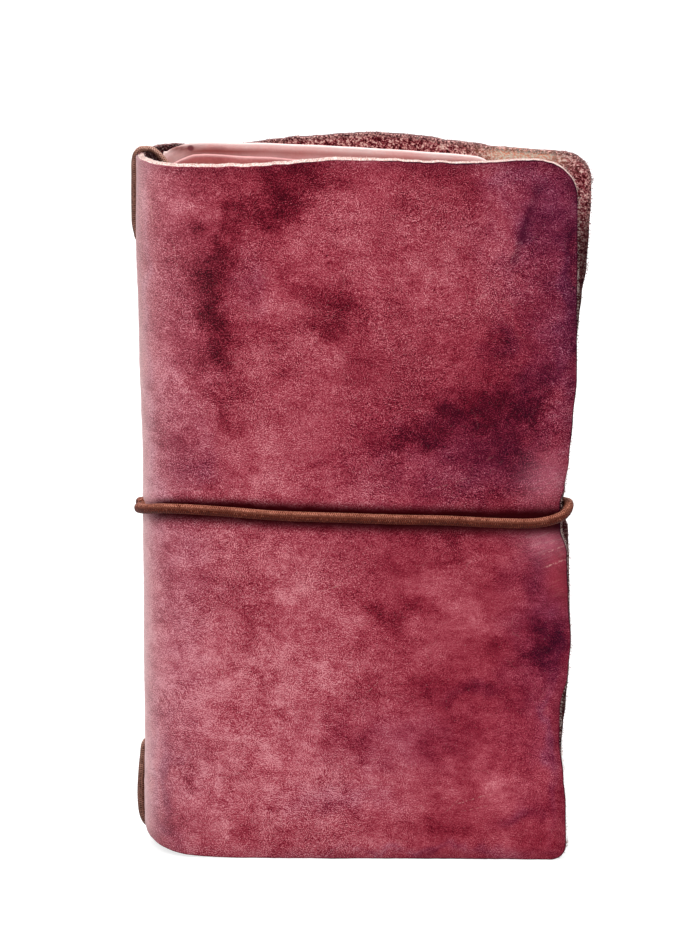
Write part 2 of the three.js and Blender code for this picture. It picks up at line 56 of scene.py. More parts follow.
# The spine's outer face in the frame, where x is 0 here
SHIFT_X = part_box("spine_leather")[0][0] / MM
COVER_H = 218.0
COVER_W = 130.0
RADIUS = 14.0
FORE_HALF = 5.4
LEATHER = 2.6
SHOULDER_X = 68.0
PINCH_X = 128.0
QUARTER = RADIUS * math.pi / 2
INNER = RADIUS - LEATHER
SPINE_RAISE = (7.6, 42.0)
SPLAY_TOP_Z = 75.0
SHIFT_START_X = 85.0
CLEARANCE = 0.35
FAR_AWAY = 1e9
# A rise of the top edge is height, x and reach. A fore edge is shares of the height with shifts.
FRONT_FORE = [
    (0, -1.2), (0.08, -1.5), (0.12, -2.3), (0.17, -3.6), (0.215, -3.6), (0.266, -1.3), (0.312, -0.5),
    (0.37, -1.4), (0.44, -2), (0.475, -4.1), (0.51, -4.3), (0.537, -2.9), (0.574, -1.8), (0.632, -0.8),
    (0.69, 0.2), (0.8, -0.1), (1.02, -0.4),
]
BACK_FORE = [
    (0, -1.6), (0.14, -2.6), (0.172, -2.2), (0.2, -1.5), (0.262, -0.7), (0.295, -0.2), (0.355, -0.8),
    (0.413, -1.1), (0.46, -1.6), (0.486, -2.9), (0.503, -3.5), (0.52, -2.7), (0.6, -1.4), (0.69, -0.6),
    (0.74, 0.3), (0.765, 0.8), (0.8, 1.5), (0.84, 2.8), (0.89, 3.4), (0.935, 3.9), (1.02, 3.8),
]
FRONT = dict(side=-1, top=12.0, bottom=5.0, rises=[(2.4, 64.0, 22.0)], splay=1.0, fore=FRONT_FORE)
BACK_RISES = [(3.4, 70.0, 30.0), (-1.1, 22.0, 14.0)]
BACK = dict(side=1, top=8.0, bottom=6.0, rises=BACK_RISES, splay=0.5, fore=BACK_FORE)
# How far the spine leans out at heights, from its straight line
SPINE_LEAN = [
    (0, -0.05), (16, -0.1), (33, 0.2), (46, 0.3), (65, 0.2), (91, 0.3), (123, 0.4), (142, 0.05),
    (157, -0.4), (173, -0.6), (185, -0.85), (216, -0.75), (220, -0.7),
]
BAND_R = 1.5
BAND_Z = 108.7
BAND_TIP_Z = 109.5
BAND_CLIMB_ANGLE = 1.35
# Share of the way from the bend to the fore edge, and the band's rise there in front and behind
BAND_FLANK = [
    (0, 3.7, -5.2), (0.11, 2.9, -4.4), (0.22, 1.9, -3.5), (0.42, 1.2, -2.8), (0.55, 0.6, -2.2),
    (0.67, -0.4, -1.4), (0.79, -1.7, -0.8), (0.9, -2.6, -0.3),
]
CORD_R = 1.25
CORD_Y = 3.0
HOLE_INSET = 27.0


# Helpers for shapes
def smoothstep(t):
    t = np.clip(t, 0, 1)
    return t * t * (3 - 2 * t)


def lerp(a, b, t):
    return a + (b - a) * t


def bump(value, centre, reach):
    return np.exp(-(((value - centre) / reach) ** 2))


def unit(vector):
    return vector / (np.linalg.norm(vector) + 1e-9)


def ripple(u, v, size, seed):
    """Smooth seeded waviness of about one unit, with features about size wide."""
    rng = np.random.default_rng(seed)
    waves = 9
    total = 0
    for _ in range(waves):
        turn = rng.uniform(0, math.tau)
        rate = math.tau / size * rng.uniform(0.5, 1.3)
        along = rate * (u * math.cos(turn) + v * math.sin(turn))
        total = total + np.sin(along + rng.uniform(0, math.tau))
    return total / math.sqrt(waves)


def falls(distance, radius):
    """How far an edge rounded to radius has fallen in, at a distance from it."""
    return radius - np.sqrt(np.maximum(0, radius**2 - np.clip(radius - distance, 0, radius) ** 2))


def steps_between(table, value):
    """Value of a table at a place, eased from each row to the next."""
    places, values = np.array(table, float).T
    value = np.clip(value, places[0], places[-1])
    row = np.clip(np.searchsorted(places, value, "right") - 1, 0, len(places) - 2)
    share = (value - places[row]) / (places[row + 1] - places[row])
    return lerp(values[row], values[row + 1], smoothstep(share))


def half_thickness(x):
    return lerp(RADIUS, FORE_HALF, smoothstep((x - SHOULDER_X) / (PINCH_X - SHOULDER_X)))


def bottom_edge(along):
    raise_by, reach = SPINE_RAISE
    return raise_by * np.maximum(0, 1 - along / reach) ** 3


def top_edge(cover, x):
    return COVER_H + sum(height * bump(x, centre, reach) for height, centre, reach in cover["rises"])


def splay_at(cover, x, z):
    opening = smoothstep((SPLAY_TOP_Z - z) / SPLAY_TOP_Z)
    return cover["splay"] * (RADIUS - half_thickness(np.maximum(x, RADIUS))) * opening


def grid_z(low, high, rows):
    """Heights of a grid whose columns run from low to high in shares given by rows."""
    return low[:, None] + (high - low)[:, None] * rows[None, :]


def rim_distance(across, up):
    """Distance of each point of a grid to its bottom, its top and its last column."""
    rim = [*zip(across[:, 0], up[:, 0]), *zip(across[:, -1], up[:, -1]), *zip(across[-1], up[-1])]
    nearest = np.full(across.shape, FAR_AWAY)
    for a, b in rim:
        nearest = np.minimum(nearest, np.hypot(across - a, up - b))
    return nearest


def grid_quads(index, flip):
    quads = np.stack([index[:-1, :-1], index[1:, :-1], index[1:, 1:], index[:-1, 1:]], 2)
    return quads[:, :, ::-1] if flip else quads


def shell(outer, inner, flip, closed=True):
    """Points and faces of a sheet between two grids of points. Its first column has a wall
    only where it is closed."""
    columns, count = outer.shape[:2]
    offset = columns * count
    index = np.arange(offset).reshape(columns, count)
    quads = grid_quads(index, flip).reshape(-1, 4)
    around = [*index[:, 0], *index[-1, 1:], *index[::-1, -1][1:]]
    if closed:
        around += [*index[0, ::-1][1:]]
    walls = []
    for a, b in zip(around[:-1], around[1:]):
        wall = [b, a, a + offset, b + offset]
        walls.append(wall[::-1] if flip else wall)
    points = np.concatenate([outer.reshape(-1, 3), inner.reshape(-1, 3)])
    return points, quads.tolist() + (quads[:, ::-1] + offset).tolist() + walls


def to_frame(points):
    """Millimetres in the model's own measures to metres in the shared frame."""
    return (np.asarray(points, float) + (SHIFT_X, 0, 0)) * MM


def to_metres(x, y):
    return tuple(to_frame([x, y, 0.0]))


def show(name, data):
    thing = bpy.data.objects.new(name, data)
    bpy.context.scene.collection.objects.link(thing)
    return thing


def new_mesh(name, points, faces, materials, material_of=None, **attributes):
    """A smooth mesh from points in the model's millimetres, with point attributes."""
    mesh = bpy.data.meshes.new(name)
    mesh.from_pydata(to_frame(points).tolist(), [], [list(face) for face in faces])
    for material in materials:
        mesh.materials.append(material)
    mesh.polygons.foreach_set("use_smooth", [True] * len(mesh.polygons))
    if material_of is not None:
        mesh.polygons.foreach_set("material_index", np.asarray(material_of, np.int32))
    for key, values in attributes.items():
        values = np.asarray(values, np.float32)
        kind, part = ("FLOAT_VECTOR", "vector") if values.ndim == 2 else ("FLOAT", "value")
        mesh.attributes.new(key, kind, "POINT").data.foreach_set(part, values.ravel())
    mesh.update()
    return show(name, mesh)


def settle(piece, slot, *nodes, body=None):
    """Hides the nodes that a piece stands for and, where a body is given, attaches the piece to it. Its
    slot is not used.
    """
    if body:
        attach(piece, body)
    if nodes:
        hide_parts(*nodes)


# Helpers for materials
def tint(red, green, blue):
    """An sRGB colour of 0 to 255 as a linear one."""
    parts = []
    for value in (red, green, blue):
        value = value / 255
        parts.append(value / 12.92 if value <= 0.04045 else ((value + 0.055) / 1.055) ** 2.4)
    return (*parts, 1.0)


def put(tree, value, socket):
    """Links a signal to an input, or sets the input to a constant."""
    if isinstance(value, Signal):
        tree.links.new(value.socket, socket)
    else:
        socket.default_value = value


def add_node(tree, kind, inputs=(), output=0, **settings):
    """Adds a node and gives the signal of one of its outputs."""
    made = tree.nodes.new(kind)
    for key, value in settings.items():
        setattr(made, key, value)
    for key, value in dict(inputs).items():
        put(tree, value, made.inputs[key])
    return Signal(made.outputs[output])


class Signal:
    """What one node gives out. Sums, products and the methods add the nodes that work on it."""

    def __init__(self, socket):
        self.socket = socket

    def node(self, kind, inputs, output=0, **settings):
        return add_node(self.socket.id_data, kind, inputs, output, **settings)

    def math(self, operation, second=0.0, third=0.0):
        return self.node("ShaderNodeMath", {0: self, 1: second, 2: third}, operation=operation)

    def __add__(self, other):
        return self.math("ADD", other)

    def __sub__(self, other):
        return self.math("SUBTRACT", other)

    def __mul__(self, other):
        return self.math("MULTIPLY", other)

    def scaled(self, gain, lift):
        return self.math("MULTIPLY_ADD", gain, lift)

    def clamped(self):
        """Keeps the last sum or product between 0 and 1."""
        self.socket.node.use_clamp = True
        return self

    def vector_math(self, operation, other, output=0):
        return self.node("ShaderNodeVectorMath", {0: self, 1: other}, output, operation=operation)

    def stretch(self, scale):
        return self.vector_math("MULTIPLY", scale)

    def dot(self, direction):
        return self.vector_math("DOT_PRODUCT", direction, "Value")

    def part(self, axis):
        return self.node("ShaderNodeSeparateXYZ", {0: self}, axis)

    def turned(self, degrees):
        inputs = {"Vector": self, "Angle": math.radians(degrees)}
        return self.node("ShaderNodeVectorRotate", inputs, rotation_type="Y_AXIS")

    def wander(self, rate, reach):
        """The place moved about by slow noise."""
        noise = self.node("ShaderNodeTexNoise", {"Vector": self, "Scale": rate}, "Color")
        return self.vector_math("ADD", noise.stretch((reach, reach, reach)))

    def noise(self, size, detail=3.0, roughness=0.55, distortion=0.0):
        """Noise of 0 to 1 with features about size millimetres wide."""
        inputs = {"Vector": self, "Scale": 1 / size, "Detail": detail, "Roughness": roughness}
        return self.node("ShaderNodeTexNoise", {**inputs, "Distortion": distortion})

    def swing(self, size, gain, detail=3.0, roughness=0.6):
        """Noise round nought, gain times as strong."""
        return self.noise(size, detail, roughness).scaled(gain, -gain / 2)

    def cells(self, size, feature="F1"):
        inputs = {"Vector": self, "Scale": 1 / size}
        return self.node("ShaderNodeTexVoronoi", inputs, "Distance", feature=feature)

    def between(self, low, high, to_low=0.0, to_high=1.0):
        inputs = {"Value": self, "From Min": low, "From Max": high, "To Min": to_low, "To Max": to_high}
        return self.node("ShaderNodeMapRange", inputs, clamp=True, interpolation_type="SMOOTHSTEP")

    def spot(self, centre, reach):
        """One in the middle of an oval of half sizes reach, and nought beyond it."""
        shares = self.vector_math("SUBTRACT", centre).stretch([1 / size for size in reach])
        away = shares.node("ShaderNodeVectorMath", {0: shares}, "Value", operation="LENGTH")
        return away.between(0.55, 1, 1, 0)

    def ramp(self, stops):
        shaded = self.node("ShaderNodeValToRGB", {0: self})
        band = shaded.socket.node.color_ramp
        for index, (place, shade) in enumerate(stops):
            stop = band.elements[index] if index < 2 else band.elements.new(place)
            stop.position = place
            stop.color = shade
        return shaded

    def mix(self, first, second):
        return self.node("ShaderNodeMix", {0: self, 6: first, 7: second}, 2, data_type="RGBA")

    def bump(self, strength, distance):
        inputs = {"Height": self, "Strength": strength, "Distance": distance * MM}
        return self.node("ShaderNodeBump", inputs)


class Finish:
    """A procedural material whose base colour is painted layer by layer."""

    def __init__(self, name, roughness=0.6, metallic=0.0, specular=0.5, sheen=0.0):
        self.material = bpy.data.materials.new(name)
        self.material.use_nodes = True
        self.tree = self.material.node_tree
        self.rest = self.read("rest", "Vector")
        self.set(Roughness=roughness, Metallic=metallic, Specular_IOR_Level=specular)
        self.set(Sheen_Weight=sheen, Sheen_Roughness=0.6)

    def set(self, **values):
        for key, value in values.items():
            put(self.tree, value, self.tree.nodes["Principled BSDF"].inputs[key.replace("_", " ")])

    def read(self, name, output="Fac"):
        return add_node(self.tree, "ShaderNodeAttribute", (), output, attribute_name=name)

    def paint(self, share, shade):
        self.base = share.mix(self.base, shade)

    def done(self, **values):
        self.set(Base_Color=self.base, **values)
        return self.material


LEATHER_TONES = [
    (0.0, tint(56, 0, 14)),
    (0.2, tint(94, 6, 26)),
    (0.4, tint(138, 30, 50)),
    (0.58, tint(167, 60, 76)),
    (0.78, tint(199, 96, 110)),
    (1.0, tint(232, 154, 162)),
]
PLUM_TONES = [
    (0.0, tint(42, 0, 28)),
    (0.35, tint(96, 22, 52)),
    (0.65, tint(150, 66, 96)),
    (1.0, tint(218, 160, 180)),
]
# Scratches on the front: x and z of both ends, half width, strength
SCRATCHES = [
    (3, 209, 4.2, 200, 0.4, 0.5), (10.5, 196.5, 12, 186, 0.3, 0.3), (27.5, 93.5, 31, 91, 0.25, 0.5),
    (95.5, 18, 108, 21.5, 0.25, 0.45), (97.5, 15.5, 106, 17.5, 0.2, 0.4), (91, 14, 97, 20.5, 0.2, 0.35),
    (54, 86, 62, 89, 0.25, 0.4), (13, 150, 21, 141, 0.25, 0.35), (87, 118, 99, 121, 0.2, 0.3),
    (66, 52, 74, 60, 0.2, 0.3), (122.8, 91.4, 130.5, 94.2, 0.42, 0.9),
    (122, 95.4, 129.5, 98.2, 0.34, 0.8), (124, 98.4, 130, 100.6, 0.22, 0.6),
]
# The soft crease below the front's far corner: x and z of both ends, half width, wobble
CORNER_CREASE = (118.6, 210.5, 110.6, 186.0, 2.0, 1.6)


def streak(rest, x0, z0, x1, z1, half_width, wobble=0.9):
    """One along the line between two places on the front, fading to nought at its edges."""
    x0, x1 = (-(x - RADIUS + QUARTER) for x in (x0, x1))
    long_ = math.hypot(x1 - x0, z1 - z0)
    ux, uz = (x1 - x0) / long_, (z1 - z0) / long_
    along = rest.dot((ux, 0, uz)) - (x0 * ux + z0 * uz)
    off = rest.dot((-uz, 0, ux)) + (x0 * uz - z0 * ux)
    off = (off + rest.swing(4, wobble, 2)).math("ABSOLUTE")
    ends = along.between(-1.5, 2) * along.between(long_ - 2, long_ + 1.5, 1, 0)
    return off.between(0.15 * half_width, half_width, 1, 0) * ends


def grain_tone(finish):
    """How pale the leather is: washes of dye, mottling and grain, with pale and dark places."""
    rest = finish.rest
    washes = rest.turned(14).stretch((0.4, 1, 1.3))
    long_ = rest.stretch((0.55, 1, 1.25))
    tone = rest.swing(32, 0.7, 5) + 0.5
    for vector, size, gain, detail in ((washes, 13, 0.45, 4), (rest, 9, 0.4, 4), (long_, 2.4, 0.4, 3)):
        tone = tone + vector.swing(size, gain, detail, 0.65)
    # Fine wrinkles whose direction wanders, weaker where the leather is smooth
    wrinkled = rest.wander(0.07, 14).stretch((0.5, 1, 1.35))
    fine = wrinkled.swing(0.4, 0.85, 1, 0.6) + rest.swing(0.32, 1.6, 1)
    fine = fine * rest.noise(24, 2).between(0.35, 0.65, 0.8, 1.15)
    tone = tone + fine * finish.read("smooth").scaled(-0.5, 1.15)
    dark = finish.read("dark")
    uneven = rest.noise(6, 5, 0.6, 0.5).between(0.25, 0.75, 0.35, 1.25)
    lift = finish.read("pale") * uneven * 0.42
    drop = dark * uneven * 0.3 + (dark + rest.swing(2.6, 0.8, 4)).between(0.1, 1.1, 0, 0.13)
    return tone + lift - drop


def grain_finish():
    """The cover's dyed outer side."""
    finish = Finish("leather_grain", specular=0.05)
    rest = finish.rest
    middle = rest.noise(7, 5, 0.62, 0.4)
    tone = grain_tone(finish)
    plum = (finish.read("purple") * middle.scaled(0.8, 0.6)).clamped()
    finish.base = plum.mix(tone.ramp(LEATHER_TONES), tone.ramp(PLUM_TONES))
    # The spine's bend is paler: partly real fading, partly a painted rim highlight
    finish.paint((finish.read("fading_and_rim_light") * tone.scaled(0.7, 0.5)).clamped(), tint(255, 214, 216))
    # Pale flecks, hairlines and scratches where the surface is scuffed
    scuff = finish.read("pale").scaled(0.9, 0.3)
    flecks = rest.noise(0.62, 2, 0.7).between(0.61, 0.7) * scuff
    finish.paint(flecks * 0.42, tint(236, 176, 178))
    lines = rest.wander(0.12, 9).cells(15, "DISTANCE_TO_EDGE").between(0.0, 0.01, 1, 0)
    hairlines = lines * rest.noise(9, 3).between(0.53, 0.62) * (scuff * 0.28)
    finish.paint(hairlines, tint(222, 158, 158))
    scratched = None
    for *place, strength in SCRATCHES:
        line = streak(rest, *place) * strength
        scratched = scratched.math("MAXIMUM", line) if scratched else line
    finish.paint(scratched * rest.noise(0.8, 2, 0.7).between(0.46, 0.58), tint(234, 176, 172))
    crease = streak(rest, *CORNER_CREASE)
    finish.paint(crease * middle.scaled(0.9, 0.05), tint(62, 2, 32))
    # Fine wrinkles and red streaks where the band rubs the fore edge
    worn, red = finish.read("worn"), finish.read("red")
    slanted = rest.turned(-17)
    pale_lines = slanted.stretch((0.2, 1, 2.0)).noise(1.1, 3, 0.65).between(0.53, 0.6) * worn
    red_lines = slanted.stretch((0.22, 1, 1.6)).noise(1.5, 2).between(0.56, 0.62) * red
    finish.paint(worn * 0.45, tint(214, 128, 148))
    finish.paint(red * 0.55, tint(188, 66, 78))
    finish.paint(pale_lines * 0.24, tint(236, 190, 192))
    finish.paint(red_lines * 0.12, tint(226, 140, 138))
    # Grime and painted contact shadow along the band, and burnished edges
    finish.paint((finish.read("grime") * middle.scaled(0.5, 0.85)).clamped(), tint(56, 0, 6))
    edge = finish.read("edge")
    rim = edge.between(0.15, 0.65, 0.6, 0) + edge.between(0.4, 5, 0.3, 0)
    rim = rim * rest.dot((1, 0, 0)).between(-100, -30, 1, 0.5)
    finish.paint((rim * middle.scaled(1.6, 0.2)).clamped(), tint(44, 2, 24))
    wrinkle = rest.stretch((0.55, 1, 1.25)).noise(1.0, 4, 0.65)
    height = rest.cells(0.75) * 0.6 + (wrinkle + rest.noise(0.5, 2, 0.7) * 0.8)
    height = height + lines * -0.2 + (pale_lines + crease) * -0.6
    return finish.done(Roughness=middle.between(0.3, 0.7, 0.5, 0.66), Normal=height.bump(0.7, 0.24))


def flesh_finish():
    """The cover's rough inner side, with a short nap."""
    finish = Finish("leather_flesh", roughness=0.95, specular=0.04, sheen=0.04)
    rest = finish.rest
    nap = rest.noise(0.62, 2, 0.7)
    tone = rest.swing(0.62, 1.7, 2, 0.7) + rest.swing(8, 0.5, 4)
    tone = tone + rest.swing(0.3, 0.8, 1) + 0.54
    tone = tone + rest.swing(1.1, 1.5, 2, 0.6)
    finish.base = tone.ramp([
        (0.14, tint(52, 2, 8)),
        (0.36, tint(104, 22, 34)),
        (0.52, tint(146, 62, 72)),
        (0.68, tint(206, 126, 128)),
        (0.88, tint(255, 216, 206)),
    ])
    stain = (finish.read("warm") * (rest.swing(1.6, 2.4) + 2.2)).clamped()
    finish.paint(stain, nap.between(0.4, 0.6).mix(tint(255, 174, 144), tint(255, 240, 220)))
    speckle = rest.noise(0.5, 2, 0.7).between(0.48, 0.58)
    speckled = speckle.mix(tint(44, 8, 18), tint(230, 172, 166))
    finish.paint(finish.read("edge").between(0.2, 1.6, 0.8, 0), speckled)
    # Painted shade darkens the hollow round the holding elastic
    from_spine = rest.dot((1, 0, 0)).math("ABSOLUTE")
    finish.paint(from_spine.between(24, 34, 0.85, 0), tint(30, 4, 10))
    # Between the covers, below the corner, it lies in shade
    shaded = rest.dot((0, 0, 1)).between(206, 188, 0, 0.75) * from_spine.between(118, 130)
    finish.paint(shaded, tint(40, 4, 12))
    return finish.done(Normal=nap.bump(1.0, 0.6))


def cut_finish(name, light, dark_share):
    """The cut edge: pale fibres, darkened where the edge is burnished."""
    finish = Finish(name, roughness=0.9, specular=0.08, sheen=0.05)
    fibres = finish.rest.stretch((1, 0.45, 1)).noise(0.5, 3, 0.7)
    finish.base = fibres.scaled(1.8, -0.4).ramp([
        (0.12, tint(160, 92, 90)),
        (0.36, tint(226, 180, 170)),
        (0.58, light),
        (0.85, tint(255, 248, 242)),
    ])
    lower = dark_share * 0.3
    patches = finish.rest.noise(2.2, 3).between(0.62 - lower, 0.7 - lower)
    burnish = (patches * dark_share).math("MAXIMUM", finish.read("burnish"))
    finish.paint(burnish, fibres.between(0.42, 0.62).mix(tint(38, 12, 20), tint(120, 66, 70)))
    return finish.done(Normal=fibres.bump(1.0, 0.45))


def fibre_finish(name, low, high):
    """Loose fibres of the cut edges."""
    finish = Finish(name, roughness=0.9, specular=0.05)
    tone = finish.rest.noise(0.8, 2, 0.7)
    finish.base = tone.ramp([(0.35, low), (0.5, high), (0.68, tint(246, 222, 216))])
    finish.paint((finish.read("warm") * 0.9).clamped(), tint(255, 190, 160))
    return finish.done()


def cord_finish(name, *shades):
    """Elastic cord wrapped in fine yarn."""
    finish = Finish(name, roughness=0.55, specular=0.14)
    rest = finish.rest
    turns_per_mm = math.tau / 0.62
    along, around = rest.part(0), rest.part(1)
    one, two = ((around.scaled(lean, along) * turns_per_mm).math("SINE") for lean in (0.35, -0.35))
    yarn = one.math("MAXIMUM", two)
    tone = yarn.scaled(0.26, 0.38) + rest.stretch((1.8, 0.4, 1)).swing(0.4, 1.2, 2)
    # The cord's upper side is paler: a painted highlight
    tone = tone + finish.read("upward").scaled(0.4, -0.15)
    tone = tone + (rest.swing(5, 0.4, 3) + rest.stretch((0.3, 1, 1)).swing(0.7, 0.4, 2))
    finish.base = tone.ramp(zip((0.2, 0.55, 0.95), shades))
    return finish.done(Normal=(yarn + rest.noise(0.35, 3, 0.6)).bump(0.6, 0.14))


# Marks near the top of the folder's back leaf: x, z, half width, half height, strength
FOLDER_MARKS = [(15.4, 219.4, 1.35, 1.2, 0.9), (23.5, 219.4, 3.5, 1.0, 0.25)]
# How far the places that a material reads are moved off the middle plane, so that sheets differ
LEAF_REST_Y = 90.0
POCKET_REST_Y = 300.0
CARD_REST_Y = 160.0
CARD_HALF_REST_Y = 40.0


def folder_finish(name, rim, *shades):
    """Smooth natural pink leather with a soft mottled face."""
    finish = Finish(name, roughness=0.55, specular=0.2, sheen=0.1)
    small = finish.rest.noise(1.3, 4, 0.65)
    tone = finish.rest.noise(16, 4, 0.55, 0.5) * 0.8 + small.scaled(0.3, -0.1)
    finish.base = tone.ramp(zip((0.2, 0.42, 0.6, 0.85), shades))
    edge = finish.read("edge")
    # A pale line along every edge is a painted highlight, and the darker band just inside it painted shade
    finish.paint(edge.between(0.2, 1.0, rim, 0), tint(255, 232, 228))
    finish.paint(edge.between(0.9, 2.0) * edge.between(2.2, 5, 0.35, 0), tint(190, 96, 84))
    finish.paint(finish.read("shade") * 0.9, tint(134, 42, 34))
    for x, z, wide, high, strength in FOLDER_MARKS:
        mark = finish.rest.spot((x, LEAF_REST_Y + 2, z), (wide, 4, high))
        finish.paint(mark * strength, tint(112, 42, 52))
    return finish.done(Normal=(finish.rest.cells(0.8) + small).bump(0.35, 0.1))


def paper_finish():
    """Cream sheets, their edges seen as fine lines."""
    finish = Finish("paper_stack", roughness=0.9, specular=0.2)
    grain = finish.rest.noise(0.6, 3, 0.6)
    lines = (finish.rest.part(1) * (math.tau / 0.22)).math("SINE")
    tone = grain * 0.8 + lines * 0.07
    shades = (tint(214, 202, 178), tint(238, 230, 212), tint(248, 243, 232))
    finish.base = tone.ramp(zip((0.2, 0.5, 0.8), shades))
    return finish.done(Normal=(grain + lines).bump(0.25, 0.1))


def card_finish():
    """Brown card with short fibres."""
    finish = Finish("kraft_card", roughness=0.85, specular=0.2)
    fibres = finish.rest.stretch((1, 1, 0.25)).noise(0.5, 4, 0.7)
    tone = fibres * 0.7 + finish.rest.noise(14, 4) * 0.35
    shades = (tint(128, 92, 62), tint(168, 128, 92), tint(196, 160, 122))
    finish.base = tone.ramp(zip((0.25, 0.5, 0.8), shades))
    finish.paint(finish.rest.noise(0.9, 2).between(0.68, 0.74) * 0.6, tint(96, 66, 44))
    return finish.done(Normal=fibres.bump(0.4, 0.08))


def wire_finish():
    finish = Finish("staple_wire", roughness=0.3, metallic=1.0)
    drawn = finish.rest.stretch((0.15, 1, 1)).noise(0.3, 2)
    finish.base = drawn.ramp([(0.3, tint(150, 150, 154)), (0.7, tint(196, 196, 200))])
    return finish.done(Roughness=drawn.between(0.3, 0.7, 0.25, 0.45))


def thread_finish():
    finish = Finish("waxed_thread", roughness=0.65, specular=0.4, sheen=0.1)
    twist = finish.rest.noise(0.3, 2)
    finish.base = twist.ramp([(0.3, tint(150, 96, 92)), (0.7, tint(206, 158, 150))])
    return finish.done(Normal=twist.bump(0.5, 0.1))


GRAIN = grain_finish()
FLESH = flesh_finish()
CUT_FRONT = cut_finish("leather_cut_front", tint(248, 226, 218), 0.16)
CUT_BACK = cut_finish("leather_cut_back", tint(214, 168, 164), 0.8)
BAND = cord_finish("band_yarn", tint(50, 10, 4), tint(102, 32, 10), tint(212, 140, 116))
CORD = cord_finish("holding_yarn", tint(66, 34, 26), tint(160, 110, 94), tint(228, 184, 168))
FOLDER_SHADES = (tint(246, 164, 164), tint(255, 204, 202), tint(255, 224, 222), tint(255, 240, 238))
FOLDER = folder_finish("folder_leather", 0.6, *FOLDER_SHADES)
# The front leaf takes a darker copy of the folder leather with a weaker pale edge: painted shade, as it
# lies deeper between the covers
SHADED_LEAF_TONES = (tint(170, 76, 78), tint(206, 112, 114), tint(230, 148, 148), tint(246, 190, 186))
SHADED_FRONT_LEAF = folder_finish("folder_leather_shaded", 0.3, *SHADED_LEAF_TONES)
PAPER = paper_finish()
CARD = card_finish()
WIRE = wire_finish()
THREAD = thread_finish()

# Dark, pale and plum places on the front: (x, z, half width, half height, tilt in degrees, strength)
DARK = [
    (29, 195.6, 5, 7, 30, 0.5), (26, 191.5, 5.5, 6, 0, 0.6), (94, 164, 12, 9, 0, 0.25),
    (23, 180, 4.8, 13, 0, 0.55), (24.5, 165.5, 5, 9, 0, 0.45), (27.5, 154.3, 6, 7, -20, 0.35),
    (45, 208, 10, 6, 35, 0.75), (128.8, 172, 2, 35, 0, 0.6), (98, 150, 38, 62, 0, 0.22),
    (96, 66, 34, 34, 0, 0.22), (7.5, 22, 1.6, 17, 0, 0.5), (47.6, 216, 13.2, 4.8, 0, 0.95),
    (38.2, 206, 9, 5.1, 35, 0.75), (24.7, 195.3, 5.7, 5.4, 0, 0.9), (27.1, 206, 2.7, 4.4, 0, 0.6),
    (21.4, 176.9, 3.9, 12.7, 0, 0.85), (23, 160.9, 3.9, 7, -10, 0.8), (26.8, 141.4, 3.9, 5.7, 0, 0.65),
    (19.3, 128.9, 3.3, 3.8, 0, 0.4), (57.2, 174.3, 6.2, 7.8, 0, 0.9), (57, 169, 4.5, 2, 0, 0.4),
    (53.8, 126.4, 3, 1.9, 0, 0.7), (65.3, 161.5, 3.3, 12.7, 0, 0.4), (43.1, 153.8, 4.2, 2.2, 0, 0.35),
    (100.3, 141.1, 16, 4, 22, 0.97), (121, 163, 8, 26, 0, 0.3), (117, 196, 7, 8, 0, 0.6),
    (112, 131, 14, 11, 0, 0.4), (79.6, 134.8, 10.8, 3.6, 12, 0.95), (116.6, 142.9, 6.6, 5.7, 0, 0.85),
    (107, 125.8, 7.8, 3.5, 0, 0.5), (68.4, 127.3, 6.6, 2.9, 0, 0.45), (89, 146, 18, 3.8, 10, 0.35),
    (106.6, 160.9, 3.6, 2.9, 0, 0.5), (89.2, 121.7, 12, 2.9, 0, 0.3), (8.7, 106.6, 4.8, 1.9, 0, 0.5),
    (47.5, 106, 21, 1.6, 0, 0.4), (107.2, 104.7, 15, 1.9, 0, 0.45), (73.3, 79.3, 5.4, 2.5, 15, 0.7),
    (82, 83.2, 3.9, 4.4, 0, 0.5), (122.1, 66.6, 6, 7, 0, 0.85), (109.1, 67.8, 6, 2.5, 10, 0.5),
    (101.8, 53.7, 10.2, 1.9, 0, 0.5), (34, 80, 6, 1.9, 0, 0.45), (32.5, 70.4, 4.2, 3.2, 0, 0.3),
    (29.4, 46, 7.8, 2.5, 0, 0.5), (56.6, 44.1, 6, 2.2, -15, 0.5), (63.2, 37.6, 6, 4.1, 0, 0.6),
    (14.8, 31.8, 3, 4.4, 0, 0.45), (56.6, 16.8, 4.5, 2.5, 0, 0.6), (90, 9.7, 9, 3.2, 0, 0.5),
    (117.3, 13.9, 4.8, 2.5, 10, 0.6), (30.8, 8.3, 4.2, 1.9, 0, 0.4), (101.9, 38.3, 12, 5.1, 0, 0.25),
    (119.4, 86.3, 4.8, 3.2, 0, 0.4), (95.4, 95.8, 12, 3.2, 10, 0.3), (120.1, 31.8, 4.2, 6.3, 0, 0.3),
]
